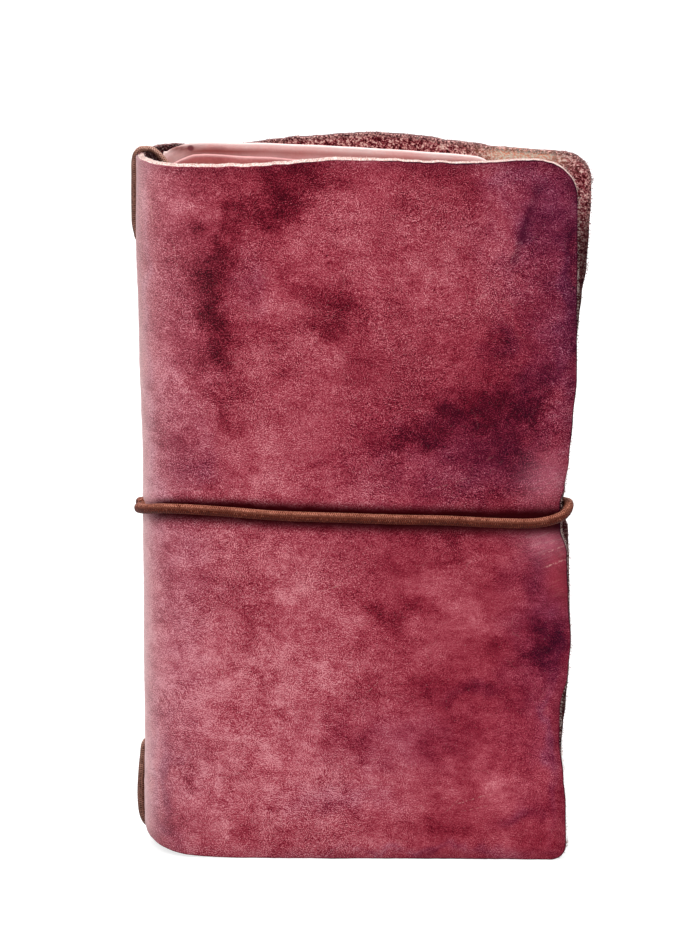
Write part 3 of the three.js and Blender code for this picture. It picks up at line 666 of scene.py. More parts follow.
# Pale places hugging the spine's edge, x under 3, are partly real fading and partly a painted rim highlight
PALE = [
    (15.2, 206, 3.5, 2, -35, 0.6), (22, 200.5, 4.5, 1.8, -35, 0.75), (26.4, 196.2, 3, 1.7, -15, 0.8),
    (28.6, 202.8, 1.6, 1.6, 0, 0.5), (6.8, 210.5, 0.9, 2.6, 0, 0.5), (75, 188, 27, 24, 0, 0.35),
    (60, 160, 22, 17, 0, 0.25), (30, 84, 42, 30, 0, 0.35), (34, 36, 38, 30, 0, 0.45),
    (112, 28, 20, 20, 0, 0.1), (25.6, 21, 11, 10, 0, 0.55), (10, 136, 9, 13, 0, 0.3),
    (33, 40, 44, 46, 0, 0.42), (1.5, 110, 5, 115, 0, 0.6), (52, 122, 26, 26, 0, 0.18),
    (1.7, 210.5, 2.7, 14.3, 0, 0.75), (1.8, 133.6, 3.6, 28.6, 0, 0.7), (2.5, 70.4, 3.6, 34.9, 0, 0.75),
    (10.9, 150.7, 9.6, 14.3, 0, 0.5), (9.5, 206, 7.8, 9.5, 0, 0.4), (32.9, 186.1, 3.6, 6.3, 0, 0.4),
    (38.7, 176.9, 9, 5.1, 0, 0.4), (43.1, 160.9, 7.8, 3.8, 0, 0.45), (66.7, 193.8, 8.4, 8.3, 0, 0.45),
    (82.9, 180, 21, 7, 0, 0.35), (56.4, 147.6, 6, 3.8, -20, 0.3), (17.6, 95.8, 13.8, 5.1, 5, 0.45),
    (55, 87, 7.8, 2.9, 12, 0.6), (38.5, 84.4, 10.2, 2.2, 0, 0.4), (89.4, 89.5, 18, 3.2, 12, 0.4),
    (101.5, 76.1, 9, 3.2, 0, 0.35), (18.9, 57.6, 10.2, 8.3, 0, 0.5), (54.1, 61.4, 4.8, 2.9, 0, 0.6),
    (23.9, 22, 13.8, 8.3, 0, 0.6), (37.8, 36.3, 1.5, 1.6, 0, 0.9), (77.6, 64, 18, 2.9, 15, 0.3),
    (108.1, 24.6, 6.6, 4.4, 0, 0.5), (94.5, 22, 3, 7, 10, 0.3), (124.9, 122.6, 3, 4.4, 0, 0.6),
    (123.1, 101.5, 4.2, 4.4, 0, 0.65), (32.7, 117.9, 9, 2.5, 0, 0.3), (11, 9, 4.8, 2.5, 0, 0.3),
    (44.5, 64, 12, 9.5, 0, 0.3), (32.7, 121.1, 9, 6.3, 0, 0.25),
]
# Plum places hugging the spine's edge, x under 3, are partly real fading and partly a painted rim highlight
PLUM = [
    (122, 198, 15, 24, 0, 0.6), (104, 130, 28, 13, 12, 0.5), (122, 72, 9, 30, 0, 0.45),
    (10, 110, 10, 100, 0, 0.25), (111.9, 212.9, 7.8, 4.1, 0, 0.6), (116.2, 197.7, 5.4, 5.7, 0, 0.75),
    (122.6, 206, 4.8, 8.3, 0, 0.6), (127.3, 180, 2.1, 28.6, 0, 0.95), (124.3, 163.1, 6.6, 15.9, 0, 0.55),
    (118.6, 150.7, 6.6, 4.4, 0, 0.5), (110, 121.1, 12, 4.4, 0, 0.45), (122.4, 91.1, 4.8, 5.7, 0, 0.5),
    (124.4, 70.4, 3.6, 10.8, 0, 0.6), (6.6, 25.3, 1.5, 15.9, 0, 0.55), (1.5, 28.5, 1.8, 22.2, 0, 0.5),
    (2.9, 121.1, 2.7, 19, 0, 0.4), (1, 176.9, 1.8, 38.1, 0, 0.45), (4.9, 7, 4.2, 2.5, 0, 0.5),
    (115.8, 14.9, 4.8, 2.5, 10, 0.55), (59.6, 18.8, 12, 3.8, 0, 0.3), (125.2, 38.3, 1.5, 19, 0, 0.7),
    (77.7, 38.3, 18, 8.3, 0, 0.25), (101.8, 54.4, 9, 2.2, 0, 0.3), (32.9, 181.5, 3.6, 6.3, 0, 0.35),
    (17.8, 127.3, 6, 5.1, 0, 0.3), (108.1, 161.5, 4.2, 3.2, 0, 0.4), (90.1, 2.5, 27, 1, 0, 0.5),
]


def stain_field(stains, x, z):
    """How strongly any of the soft-edged stains covers each point."""
    left = np.ones_like(x)
    bent_x = x + 1.9 * ripple(x, z, 15, 51) + 0.8 * ripple(x, z, 4.5, 52)
    bent_z = z + 1.9 * ripple(x, z, 15, 53) + 0.8 * ripple(x, z, 4.5, 54)
    for centre_x, centre_z, wide, high, tilt, strength in stains:
        cosine, sine = math.cos(math.radians(tilt)), math.sin(math.radians(tilt))
        across = (bent_x - centre_x) * cosine + (bent_z - centre_z) * sine
        up = (bent_z - centre_z) * cosine - (bent_x - centre_x) * sine
        spread = np.hypot(across / wide, up / high)
        ragged = 0.14 * ripple(x, z, 7, int(centre_x * 7 + centre_z))
        left = left * (1 - strength * np.exp(-np.maximum(0, spread + ragged) ** 2 * 0.75))
    return 1 - left


def turned_stains(stains):
    """The front's places turned round and drawn in a little, for the back."""
    return [(COVER_W - x * 0.9, COVER_H - z * 0.95, *rest) for x, z, *rest in stains]


def band_height(s, side):
    """Height of the band at a distance along the leather from the spine's middle."""
    shares, front, back = np.array(BAND_FLANK).T
    places = QUARTER + 0.5 + shares * (COVER_W - RADIUS - 0.5)
    climbed = smoothstep(s / RADIUS / BAND_CLIMB_ANGLE)
    return BAND_Z + climbed * np.interp(s, places, front if side < 0 else back)


def warm_stain(x, z):
    """The orange stain at the back cover's top."""
    return bump(x, 112, 7.8) * bump(z, COVER_H, 5)


# Leather cover, one half from the middle of the spine to the fore edge
SPINE_LOW = float(bottom_edge(CORD_Y))
HOLE_S = RADIUS * math.asin(CORD_Y / RADIUS)
UPPER_HOLE = COVER_H - HOLE_INSET
LOWER_HOLE = SPINE_LOW + HOLE_INSET
SLOT_RADII = (4.2, 2.1)
HOLE_RADII = (1.55, 2.1)
# x, z of the start, x, z of the end and depth of the creases at the fore edge
CREASES = [
    (116, 98, 131, 93.5, 0.28), (113, 94, 131, 89, 0.22), (119, 90, 131, 86.5, 0.2),
    (121, 101, 131, 99.5, 0.25), (108, 112.5, 131, 118, 0.16), (117, 121, 131, 126, 0.14),
    (110, 103.5, 124, 100.5, 0.12),
]
# Heights of the band and the holes as shares of a straight spine's, in millimetres, and how
# far the leather's fine rows reach round them
DETAILED = ((106, 15), (27.5, 3.5), (190, 3.5))
# Where the band pinches the fore edge of each half
PINCH_Z = {-1: 107.6, 1: 109.0}
# Shares of the leather's thickness at which the fibres of a cut edge have points
CUT_STEPS = (0.0, 0.3, 0.55, 0.8, 1.0)
FIBRES = 5200


def leather_stations(cover):
    """Distances along the leather from the spine's middle, closer together where it has detail."""
    near_slot = np.concatenate([[0, 0.12, 0.3, 0.55, 0.85], np.arange(1.2, 6.3, 0.4)])
    bend = np.arange(6.9, QUARTER - 0.3, 0.8)
    corner_x = COVER_W - cover["top"]
    flat = np.concatenate([np.arange(RADIUS, 100, 1.05), np.arange(100, corner_x - 0.3, 0.62)])
    corner = corner_x + cover["top"] * np.sin(np.linspace(0, math.pi / 2, 24))
    return np.concatenate([near_slot, bend, flat - RADIUS + QUARTER, corner - RADIUS + QUARTER])


def leather_rows():
    """Shares of the leather's height, closer together at its edges, the band and the holes."""
    near = np.array([0, 0.04, 0.12, 0.25, 0.42, 0.65, 1.0, 1.5, 2.2])
    middle = [2.2]
    while middle[-1] < COVER_H - 3.4:
        z = middle[-1]
        detailed = any(abs(z - height) < reach for height, reach in DETAILED)
        middle.append(z + (0.55 if detailed else 1.15))
    return np.concatenate([near[:-1], middle, COVER_H - near[::-1]]) / COVER_H


def open_hole(s, z, centre, radii, keep):
    """Draws the grid round an opening and drops the cells inside it."""
    centre_s, centre_z = centre
    column = int(np.argmin(np.abs(s[:, 0] - centre_s)))
    low, *_, high = np.where(np.abs(z[column] - centre_z) <= radii[1])[0]
    first, *_, last = np.where(np.abs(s[:, 0] - centre_s) <= radii[0])[0]
    keep[first:last, low:high] = False
    middle_s = (s[first, 0] + s[last, 0]) / 2 if centre_s > 0 else 0.0
    across = (s - middle_s) / (s[last, 0] - middle_s)
    up = (z - (z[:, low] + z[:, high])[:, None] / 2) / ((z[:, high] - z[:, low])[:, None] / 2)
    square = np.maximum(np.abs(across), np.abs(up))
    round_ = np.hypot(across, up) + 1e-9
    fade = smoothstep((square - 1) / 1.6)
    target_s = centre_s + across / round_ * square * radii[0]
    target_z = centre_z + up / round_ * square * radii[1]
    from_hole = (square - 1) * min(radii)
    return lerp(target_s, s, fade), lerp(target_z, z, fade), np.maximum(from_hole, 0)


def crease_field(x, z):
    depth = np.zeros_like(x)
    for x0, z0, x1, z1, deep in CREASES:
        long_ = math.hypot(x1 - x0, z1 - z0)
        along = ((x - x0) * (x1 - x0) + (z - z0) * (z1 - z0)) / long_
        off = ((z - z0) * (x1 - x0) - (x - x0) * (z1 - z0)) / long_
        off = off + 0.5 * np.sin(along * 0.9 + x0)
        ends = smoothstep(along / 5) * smoothstep((long_ + 4 - along) / 4)
        depth = depth + deep * ends * (bump(off, 0, 0.6) - 0.45 * bump(off, 1.3, 0.9))
    return depth


def leather_grid(cover):
    """Places on the flat leather, the height of its top, the cells that are kept, and the
    distances to the cut edges and to the openings in the spine."""
    side = cover["side"]
    stations = leather_stations(cover)
    rows = leather_rows()
    x = RADIUS + stations - QUARTER
    signed = side * stations
    ragged = 0.1 * ripple(signed, 0, 3.1, 5) + 0.14 * ripple(signed, 0, 13, 6)
    low = bottom_edge(np.hypot(stations, 2.0)) + falls(COVER_W - x, cover["bottom"])
    low = low + 0.25 * np.abs(ragged) * smoothstep((stations - 60) / 20)
    high = top_edge(cover, np.maximum(x, 0)) - falls(COVER_W - x, cover["top"]) + ragged
    # The holding elastic bites into both ends of the spine
    bite = bump(signed, HOLE_S, 1.5)
    high = high - 1.2 * bite
    low = low + 0.6 * bite
    s = np.repeat(stations[:, None], len(rows), 1)
    z = grid_z(low, high, rows)
    edge = rim_distance(s, z)
    keep = np.ones((len(stations) - 1, len(rows) - 1), bool)
    openings = [((0.0, BAND_Z), SLOT_RADII)]
    if side > 0:
        openings += [((HOLE_S, UPPER_HOLE), HOLE_RADII), ((HOLE_S, LOWER_HOLE), HOLE_RADII)]
    hole = np.full(s.shape, FAR_AWAY)
    for centre, radii in openings:
        s, z, away = open_hole(s, z, centre, radii, keep)
        hole = np.minimum(hole, away)
    return s, z, high[:, None], keep, edge, hole


def leather_relief(side, s, x, z, hole):
    """Slow waves through the whole thickness, and the marks in the outer face alone."""
    signed = side * s
    calm = lerp(0.26, 0.1, smoothstep((s - 75) / 40)) * lerp(0.3, 1, smoothstep(s / 28))
    wave = calm * ripple(signed, z, 46, 11) + 0.4 * calm * ripple(signed, z, 17, 12)
    from_band = z - band_height(s, side)
    groove = -0.3 * bump(from_band, 0, 1.7) * smoothstep((s - 2) / 4)
    groove = groove + 0.09 * bump(np.abs(from_band), 3.4, 1.6)
    texture = 0.035 * ripple(signed, z, 3.3, 13) + 0.02 * ripple(signed, z, 1.9, 14)
    if side > 0:
        pressed = 0.45 * (smoothstep((z - UPPER_HOLE) / 6) + smoothstep((LOWER_HOLE - z) / 6))
        pressed = pressed + 0.6 * (bump(z, UPPER_HOLE + 2.6, 2.6) + bump(z, LOWER_HOLE - 4, 3.6))
        groove = groove - pressed * bump(s, HOLE_S, 1.2)
    creases = crease_field(x, z) if side < 0 else 0.7 * crease_field(x, 2 * BAND_TIP_Z - z)
    return wave, wave + groove + texture - creases - 0.35 * bump(hole, 0, 0.7)


def leather_faces(cover, s, z, high, edge, hole):
    """The leather's outer and inner face as grids of points."""
    side = cover["side"]
    x = RADIUS + s - QUARTER
    on_bend = s < QUARTER
    theta = np.clip(s / RADIUS, 0, math.pi / 2)
    flat_x = np.maximum(x, RADIUS)
    outer_x = np.where(on_bend, RADIUS - RADIUS * np.cos(theta), flat_x)
    outer_y = np.where(on_bend, RADIUS * np.sin(theta), half_thickness(flat_x))
    slope = (half_thickness(flat_x + 0.01) - half_thickness(flat_x - 0.01)) / 0.02
    length = np.hypot(slope, 1)
    normal_x = np.where(on_bend, -np.cos(theta), -slope / length)
    normal_y = np.where(on_bend, np.sin(theta), 1 / length)
    wave, skin = leather_relief(side, s, x, z, hole)
    shift = steps_between(cover["fore"], z / COVER_H)
    shift = shift * np.maximum(0, (outer_x - SHIFT_START_X) / (COVER_W - SHIFT_START_X)) ** 2
    shift = shift + steps_between(SPINE_LEAN, z) * (1 - smoothstep(s / 24))
    pinch = 1.25 * bump(z, PINCH_Z[side], 4.5) * smoothstep((outer_x - 111) / 14)
    spread_y = splay_at(cover, outer_x, z) - pinch

    def face(offset):
        across = outer_x + normal_x * offset + shift
        return np.stack([across, (outer_y + normal_y * offset + spread_y) * side, z], 2)

    cut = np.minimum(edge, hole)
    outer = face(skin - falls(cut, 0.55))
    # The top is cut at a slant, so that the front's cut edge shows from outside
    slant = lerp(0.5, 0.12, smoothstep((s - 60) / 40)) if side < 0 else 0.1
    outer[:, :, 2] -= slant * bump(high, z, 0.5)
    nap = 0.05 * ripple(side * s, z, 1.6, 15)
    return outer, face(-LEATHER + wave + nap + falls(cut, 0.4))


def leather_rims(side, index, points, keep):
    """The edges of the grid that a cut wall stands on, and the way out of the leather at each
    of their points."""
    outward = {}
    rims = []

    def kept(i, j):
        return 0 <= i < keep.shape[0] and 0 <= j < keep.shape[1] and keep[i, j]

    for i, j in zip(*np.where(keep)):
        corners = [index[i, j], index[i + 1, j], index[i + 1, j + 1], index[i, j + 1]]
        beyond = [(i, j - 1), (i + 1, j), (i, j + 1), (i - 1, j)]
        for k in range(4):
            if kept(*beyond[k]) or (k == 3 and i == 0):
                continue
            centre = sum(points[corner] for corner in corners) / 4
            a, b = corners[k], corners[(k + 1) % 4]
            rims.append((a, b) if side < 0 else (b, a))
            away = unit((points[a] + points[b]) / 2 - centre)
            for vertex in (a, b):
                outward[vertex] = outward.get(vertex, 0) + away
    return rims, {vertex: unit(away) for vertex, away in outward.items()}


def leather_fields(side, s, z, edge):
    """What the leather's materials read, at each place of the grid."""
    x = RADIUS + s - QUARTER
    none = np.zeros_like(x)
    at_band = np.abs(z - band_height(s, side))
    # Darkening along the band, partly grime and partly painted contact shadow, with its own reach above and
    # below the band
    band_darkening_up = lerp(2.6, 4.0, smoothstep((s - 10) / 40))
    band_darkening_reach = np.where(z > band_height(s, side), band_darkening_up, 4.4)
    # Paler along the spine's bend: partly real fading, partly a painted rim highlight
    fading_and_rim_light = 0.88 * bump(s, 0, 8.2) * (1 - 0.22 * smoothstep((z - 155) / 25)) + 0.08 * bump(s, 0, 20)
    burnish = 0.9 * smoothstep((s - 75) / 50) * (z < 200)
    burnish = burnish * (1 - bump(z, 108, 14)) * (1 - 0.75 * bump(z, 186, 17))
    fields = {"edge": edge, "fading_and_rim_light": fading_and_rim_light, "worn": none, "red": none, "warm": none}
    for name, stains in (("dark", DARK), ("pale", PALE), ("purple", PLUM)):
        fields[name] = stain_field(stains if side < 0 else turned_stains(stains), x, z)
    fields["grime"] = 0.95 * np.exp(-((at_band / band_darkening_reach) ** 4)) * smoothstep((s - 4) / 12)
    fields["burnish"] = burnish + 0.95 * (z < 14) * (edge < 5)
    if side < 0:
        fields["smooth"] = smoothstep((s - 62) / 34) * smoothstep((112 - z) / 24)
        below = 0.9 * bump(x, 125, 8) * bump(z, 100.5, 6)
        fields["worn"] = below + 0.6 * bump(x, 123, 7) * bump(z, 119, 7)
        fields["red"] = 0.9 * bump(x, 128, 5.5) * bump(z, 88.5, 8.5)
    else:
        fields["smooth"] = none + 0.3
        fields["warm"] = warm_stain(x, z)
    return fields


def leather_half(cover, name, cut):
    """Makes half the cover. Gives it with the rims that fibres grow on and its inner face."""
    side = cover["side"]
    s, z, high, keep, edge, hole = leather_grid(cover)
    outer, inner = leather_faces(cover, s, z, high, edge, hole)
    offset = s.size
    index = np.arange(offset).reshape(s.shape)
    quads = grid_quads(index, side > 0)[keep]
    faces = quads.tolist() + (quads[:, ::-1] + offset).tolist()
    material_of = [0] * len(quads) + [1] * len(quads)
    flat_outer, flat_inner = outer.reshape(-1, 3), inner.reshape(-1, 3)
    rims, outward = leather_rims(side, index, flat_outer, keep)

    # Cut walls between the two faces, uneven as fibres leave them
    rng = np.random.default_rng(21 + side)
    ladder = {}
    extra = []
    extra_of = []
    for vertex, away in outward.items():
        ladder[vertex] = [vertex]
        for step in CUT_STEPS[1:-1]:
            bulge = 0.14 * math.sin(step * math.pi) + rng.uniform(-0.07, 0.09)
            ladder[vertex].append(2 * offset + len(extra))
            extra.append(lerp(flat_outer[vertex], flat_inner[vertex], step) + away * bulge)
            extra_of.append((vertex, step * LEATHER))
        ladder[vertex].append(vertex + offset)
    for a, b in rims:
        for k in range(len(CUT_STEPS) - 1):
            faces.append([ladder[b][k], ladder[a][k], ladder[a][k + 1], ladder[b][k + 1]])
            material_of.append(2)

    from_vertex = [vertex for vertex, _ in extra_of]
    depth = np.concatenate([[0.0] * offset, [LEATHER] * offset, [deep for _, deep in extra_of]])

    def spread(field):
        field = field.ravel()
        return np.concatenate([field, field, field[from_vertex]])

    fields = {key: spread(field) for key, field in leather_fields(side, s, z, edge).items()}
    fields["rest"] = np.stack([spread(side * s), depth, spread(z)], 1)
    points = np.concatenate([flat_outer, flat_inner, extra])
    piece = new_mesh(name, points, faces, (GRAIN, FLESH, cut), material_of, **fields)
    away_from_holes = [vertex for vertex in outward if hole.ravel()[vertex] > 3]
    grown = [(flat_outer[vertex], flat_inner[vertex], outward[vertex]) for vertex in away_from_holes]
    return piece, grown, (inner, edge)


def fuzz(name, side, rims, seed, finish, nap=None):
    """Loose fibres along the cut edges and, where the inner face is given, on it near them."""
    rng = np.random.default_rng(seed)
    starts = []
    for _ in range(FIBRES):
        outer_at, inner_at, away = rims[rng.integers(len(rims))]
        place = lerp(outer_at, inner_at, rng.uniform(0.0, 1.0))
        place = place + unit(np.cross(away, inner_at - outer_at)) * rng.uniform(-0.6, 0.6)
        aim = away + rng.normal(0, 0.55, 3)
        starts.append((place, aim, rng.uniform(0.25, 0.75)))
    if nap:
        inner, edge = nap
        wanted = np.argwhere((edge > 0.2) & (edge < 13))
        for _ in range(FIBRES):
            i, j = wanted[rng.integers(len(wanted))]
            i, j = min(i, inner.shape[0] - 2), min(j, inner.shape[1] - 2)
            u, v = rng.uniform(0, 1, 2)
            lower, upper = (lerp(inner[i, row], inner[i + 1, row], u) for row in (j, j + 1))
            aim = np.array([0.2, -side * 0.8, 0.5]) + rng.normal(0, 0.5, 3)
            starts.append((lerp(lower, upper, v), aim, rng.uniform(0.3, 0.6)))
    points, faces, rest = [], [], []
    for place, aim, long_ in starts:
        aim = unit(aim)
        guide = unit(np.cross(aim, rng.normal(0, 1, 3)))
        other = np.cross(aim, guide)
        thick = rng.uniform(0.045, 0.09)
        base = len(points)
        for turn in (0, math.tau / 3, 2 * math.tau / 3):
            around = guide * math.cos(turn) + other * math.sin(turn)
            points.append(place - aim * 0.1 + thick * around)
        points.append(place + aim * long_ + guide * rng.uniform(-0.5, 0.5) * long_)
        faces += [[base + k, base + (k + 1) % 3, base + 3] for k in range(3)]
        rest += [list(place)] * 4
    # No fibre reaches into the floor
    points = np.maximum(points, (-1e3, -1e3, 0.05))
    roots = np.array(rest)
    warm = warm_stain(roots[:, 0], roots[:, 2]) * (side > 0)
    return new_mesh(name, points, faces, (finish,), rest=rest, warm=warm)


def follow_leather(piece, side, body):
    """Bakes a piece's placement into its points."""
    to_metres(RADIUS, side * RADIUS)
    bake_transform(piece)


PALE_FIBRES = fibre_finish("fibres_pale", tint(214, 168, 164), tint(250, 228, 220))
PLUM_FIBRES = fibre_finish("fibres_plum", tint(86, 10, 24), tint(160, 66, 76))
HALVES = ((FRONT, "front", CUT_FRONT, PALE_FIBRES, 41), (BACK, "back", CUT_BACK, PLUM_FIBRES, 42))
for cover, face, cut, fibres, seed in HALVES:
    side, body = cover["side"], face + "_cover"
    piece, rims, inner_face = leather_half(cover, "leather_" + face, cut)
    follow_leather(piece, side, body)
    settle(piece, "leather", body, "spine_leather")
    hair = fuzz("fuzz_" + face, side, rims, seed, fibres, inner_face if side > 0 else None)
    follow_leather(hair, side, body)
    settle(hair, "leather")


# Cords
def catmull(points, spacing, closed):
    """Points at even distances on a centripetal curve through points."""
    points = np.asarray(points, float)
    if closed:
        ring = np.concatenate([points[-1:], points, points[:2]])
    else:
        ring = np.concatenate([[2 * points[0] - points[1]], points, [2 * points[-1] - points[-2]]])
    dense = []
    for k in range(len(ring) - 3):
        control = ring[k : k + 4]
        gaps = np.sqrt(np.linalg.norm(np.diff(control, axis=0), axis=1)) + 1e-6
        at = np.cumsum([0, *gaps])
        t = np.linspace(at[1], at[2], 24, endpoint=False)[:, None]

        def mixed(i, j, a, b):
            return (at[j] - t) / (at[j] - at[i]) * a + (t - at[i]) / (at[j] - at[i]) * b

        first, second, third = (mixed(i, i + 1, control[i], control[i + 1]) for i in range(3))
        dense.append(mixed(1, 2, mixed(0, 2, first, second), mixed(1, 3, second, third)))
    dense = np.concatenate([*dense, points[:1] if closed else points[-1:]])
    travelled = np.concatenate([[0], np.cumsum(np.linalg.norm(np.diff(dense, axis=0), axis=1))])
    steps = max(2, int(round(travelled[-1] / spacing)))
    wanted = np.linspace(0, travelled[-1], steps + 1)
    even = np.stack([np.interp(wanted, travelled, dense[:, axis]) for axis in range(3)], 1)
    return even[:-1] if closed else even


def tube(name, points, radius, finish, spacing=0.3, sides=14, rib=0.045, pitch=1.1, closed=False,
         thinned=None):
    """A round cord with shallow yarn ribs. thinned gives a place, a reach and a share by which
    it is thinner there."""
    line = catmull(points, spacing, closed)
    count = len(line)
    ahead = np.roll(line, -1, 0) - np.roll(line, 1, 0)
    if not closed:
        ahead[0] = line[1] - line[0]
        ahead[-1] = line[-1] - line[-2]
    ahead = ahead / np.linalg.norm(ahead, axis=1)[:, None]
    guide = np.cross(ahead[0], (0.3, 0.2, 1) if abs(ahead[0][2]) < 0.8 else (1, 0.2, 0))
    frames = []
    for direction in ahead:
        guide = unit(guide - direction * (guide @ direction))
        frames.append((guide, np.cross(direction, guide)))
    twist = math.atan2(frames[-1][0] @ frames[0][1], frames[-1][0] @ frames[0][0]) if closed else 0.0
    made, rest, upward = [], [], []
    for k, ((one, two), centre) in enumerate(zip(frames, line)):
        travel = k * spacing
        here = radius
        if thinned:
            place, reach, share = thinned
            here = radius * (1 - share * bump(np.linalg.norm(centre - place), 0, reach))
        for j in range(sides):
            turn = j / sides * math.tau - twist * k / count
            yarns = (2 * turn + travel * math.tau / pitch, 2 * turn - travel * math.tau / pitch)
            weave = math.sin(yarns[0]) + math.sin(yarns[1])
            outward = one * math.cos(turn) + two * math.sin(turn)
            made.append(centre + here * (1 + rib * 0.5 * weave) * outward)
            # How far each point faces up, which the cord's material paints as a highlight
            upward.append(max(0.0, outward[2]))
            rest.append((travel, j / sides * math.tau * radius, 0))
    faces = []
    for k in range(count if closed else count - 1):
        a, b = k * sides, (k + 1) % count * sides
        for j in range(sides):
            n = (j + 1) % sides
            faces.append([a + j, a + n, b + n, b + j])
    if not closed:
        faces.append(list(range(sides))[::-1])
        faces.append([(count - 1) * sides + j for j in range(sides)])
    return new_mesh(name, made, faces, (finish,), rest=rest, upward=upward)


BAND_OFF = BAND_R + CLEARANCE
BAND_END_Y = 1.75
# How far the drawn cord sinks towards the leather, against the solid's clearance
SETTLED = 0.42
# Angles round the spine's bend where the band has points, and how much further it sinks there
BAND_BEND = ((0.3, 0.1), (0.42, 0), (0.62, 0), (0.85, 0), (1.05, 0), (1.31, 0))
# The band's last points: x, y and the share of the way from its height there to the tip's
BAND_TIP = ((123.6, 6, 0.15), (126.5, 4.7, 0.42), (128, 2.6, 0.75), (128.4, 0.9, 1), (128.4, 0, 1))


def wall_at(radius, y):
    """x of the spine's bend of a radius, at a distance from the middle plane."""
    return RADIUS - math.sqrt(radius**2 - y**2)


def band_route(side):
    """From the knot, out through the slot, round the bend, along the cover and to the tip."""
    radius = RADIUS + BAND_OFF - SETTLED
    wall = wall_at(INNER, BAND_END_Y)
    points = [
        (wall + CLEARANCE, side * BAND_END_Y, BAND_Z),
        (wall - LEATHER, side * (BAND_END_Y + 0.05), BAND_Z),
    ]
    for angle, sunk in BAND_BEND:
        across, out = (radius - sunk) * math.cos(angle), (radius - sunk) * math.sin(angle)
        points.append((RADIUS - across, side * out, float(band_height(angle * RADIUS, side))))
    for share, front, back in BAND_FLANK:
        x = lerp(RADIUS + 0.5, COVER_W, share)
        straight = lerp(RADIUS, FORE_HALF, (x - SHOULDER_X) / (COVER_W - SHOULDER_X))
        leather_y = float(half_thickness(x))
        lies = max(leather_y, min(RADIUS, straight))
        sunk = (SETTLED if lies - leather_y < 0.3 else 0.2) + (0.9 if share > 0.85 else 0)
        points.append((x, side * (lies + BAND_OFF - sunk), BAND_Z + (front if side < 0 else back)))
    z = points[-1][2]
    for x, y, to_tip in BAND_TIP:
        points.append((x, side * y, lerp(z, BAND_TIP_Z, to_tip)))
    return points


for side, face, near in ((-1, "front", "closure_band_turn"), (1, "back", "spine")):
    band = tube("band_" + face, band_route(side), BAND_R, BAND)
    follow_leather(band, side, "closure_band_front" if side < 0 else "back_cover")
    settle(band, "elastic", "closure_band_" + face, "closure_band_spine_" + face)


def knot(name, centre, half, radius, finish, node, turn=0.0):
    """An overhand knot pulled tight: a short cord along a three-lobed loop."""
    t = np.linspace(0, math.tau, 27)[:-1]
    across = (np.sin(t) + 2 * np.sin(2 * t)) / 3
    up = (np.cos(t) - 2 * np.cos(2 * t)) / 3
    cosine, sine = math.cos(turn), math.sin(turn)
    points = np.stack([-np.sin(3 * t), across * cosine - up * sine, across * sine + up * cosine], 1)
    points = points / np.abs(points).max(0) * (np.array(half) - radius) + centre
    piece = tube(name, points, radius, finish, 0.25, 12, closed=True)
    settle(piece, "elastic", node, body="spine")


BAND_KNOT_HALF = (2.5, 3.3, 3.3)
KNOT_HALF = (2.4, 2.4, 2.4)
KNOT_STAND = 0.7
knot_x = wall_at(INNER, BAND_END_Y) + KNOT_STAND + BAND_KNOT_HALF[0]
knot("band_knot", (knot_x, 0, BAND_Z), BAND_KNOT_HALF, 1.15, BAND, "closure_knot")

# Holding elastic: outside the spine, over the top edge, down the folder's fold and back
wall_in = wall_at(INNER, CORD_Y)
wall_out = wall_at(RADIUS, CORD_Y)
run_x = wall_out - CORD_R - CLEARANCE
under_z = SPINE_LOW - CORD_R - CLEARANCE
FOLD_X = 12.0
near_run = run_x + 0.05
route = [
    (wall_in + CLEARANCE, CORD_Y, UPPER_HOLE - 0.6),
    (wall_out - 0.4, CORD_Y, UPPER_HOLE + 0.2),
    (wall_out - 0.95, CORD_Y, UPPER_HOLE + 2),
    (near_run + 0.1, CORD_Y, UPPER_HOLE + 4.6),
    (near_run, CORD_Y, UPPER_HOLE + 8),
    (near_run, CORD_Y, COVER_H - 8),
    (near_run, CORD_Y, COVER_H - 3),
    (near_run + 0.45, CORD_Y, COVER_H - 1.1),
    (wall_out, CORD_Y, COVER_H + 0.25),
    (1.9, CORD_Y - 0.2, COVER_H + 0.6),
    (3.9, CORD_Y - 0.6, COVER_H + 0.5),
    (6.0, CORD_Y - 1.4, COVER_H - 0.9),
    (7.9, CORD_Y - 2.3, COVER_H - 3.2),
    (9.6, 0.2, COVER_H - 6.4),
    (FOLD_X - 0.8, 0, COVER_H - 10.4),
    (FOLD_X, 0, COVER_H - 15),
    (FOLD_X, 0, COVER_H / 2),
    (FOLD_X, 0, under_z + 12),
    (FOLD_X - 0.7, 0.25, under_z + 5.2),
    (run_x + 8.2, CORD_Y - 1.8, under_z + 0.6),
    (run_x + 4.4, CORD_Y - 0.6, under_z - 0.3),
    (1.3, CORD_Y - 0.1, under_z + 0.1),
    (0.15, CORD_Y, under_z + 1.2),
    (-0.75, CORD_Y, under_z + 3.6),
    (near_run, CORD_Y, under_z + 9),
    (near_run + 0.2, CORD_Y, under_z + 15),
    (near_run + 0.85, CORD_Y, LOWER_HOLE - 6.5),
    (wall_out + 0.1, CORD_Y, LOWER_HOLE - 2),
    (wall_in + CLEARANCE, CORD_Y, LOWER_HOLE),
]
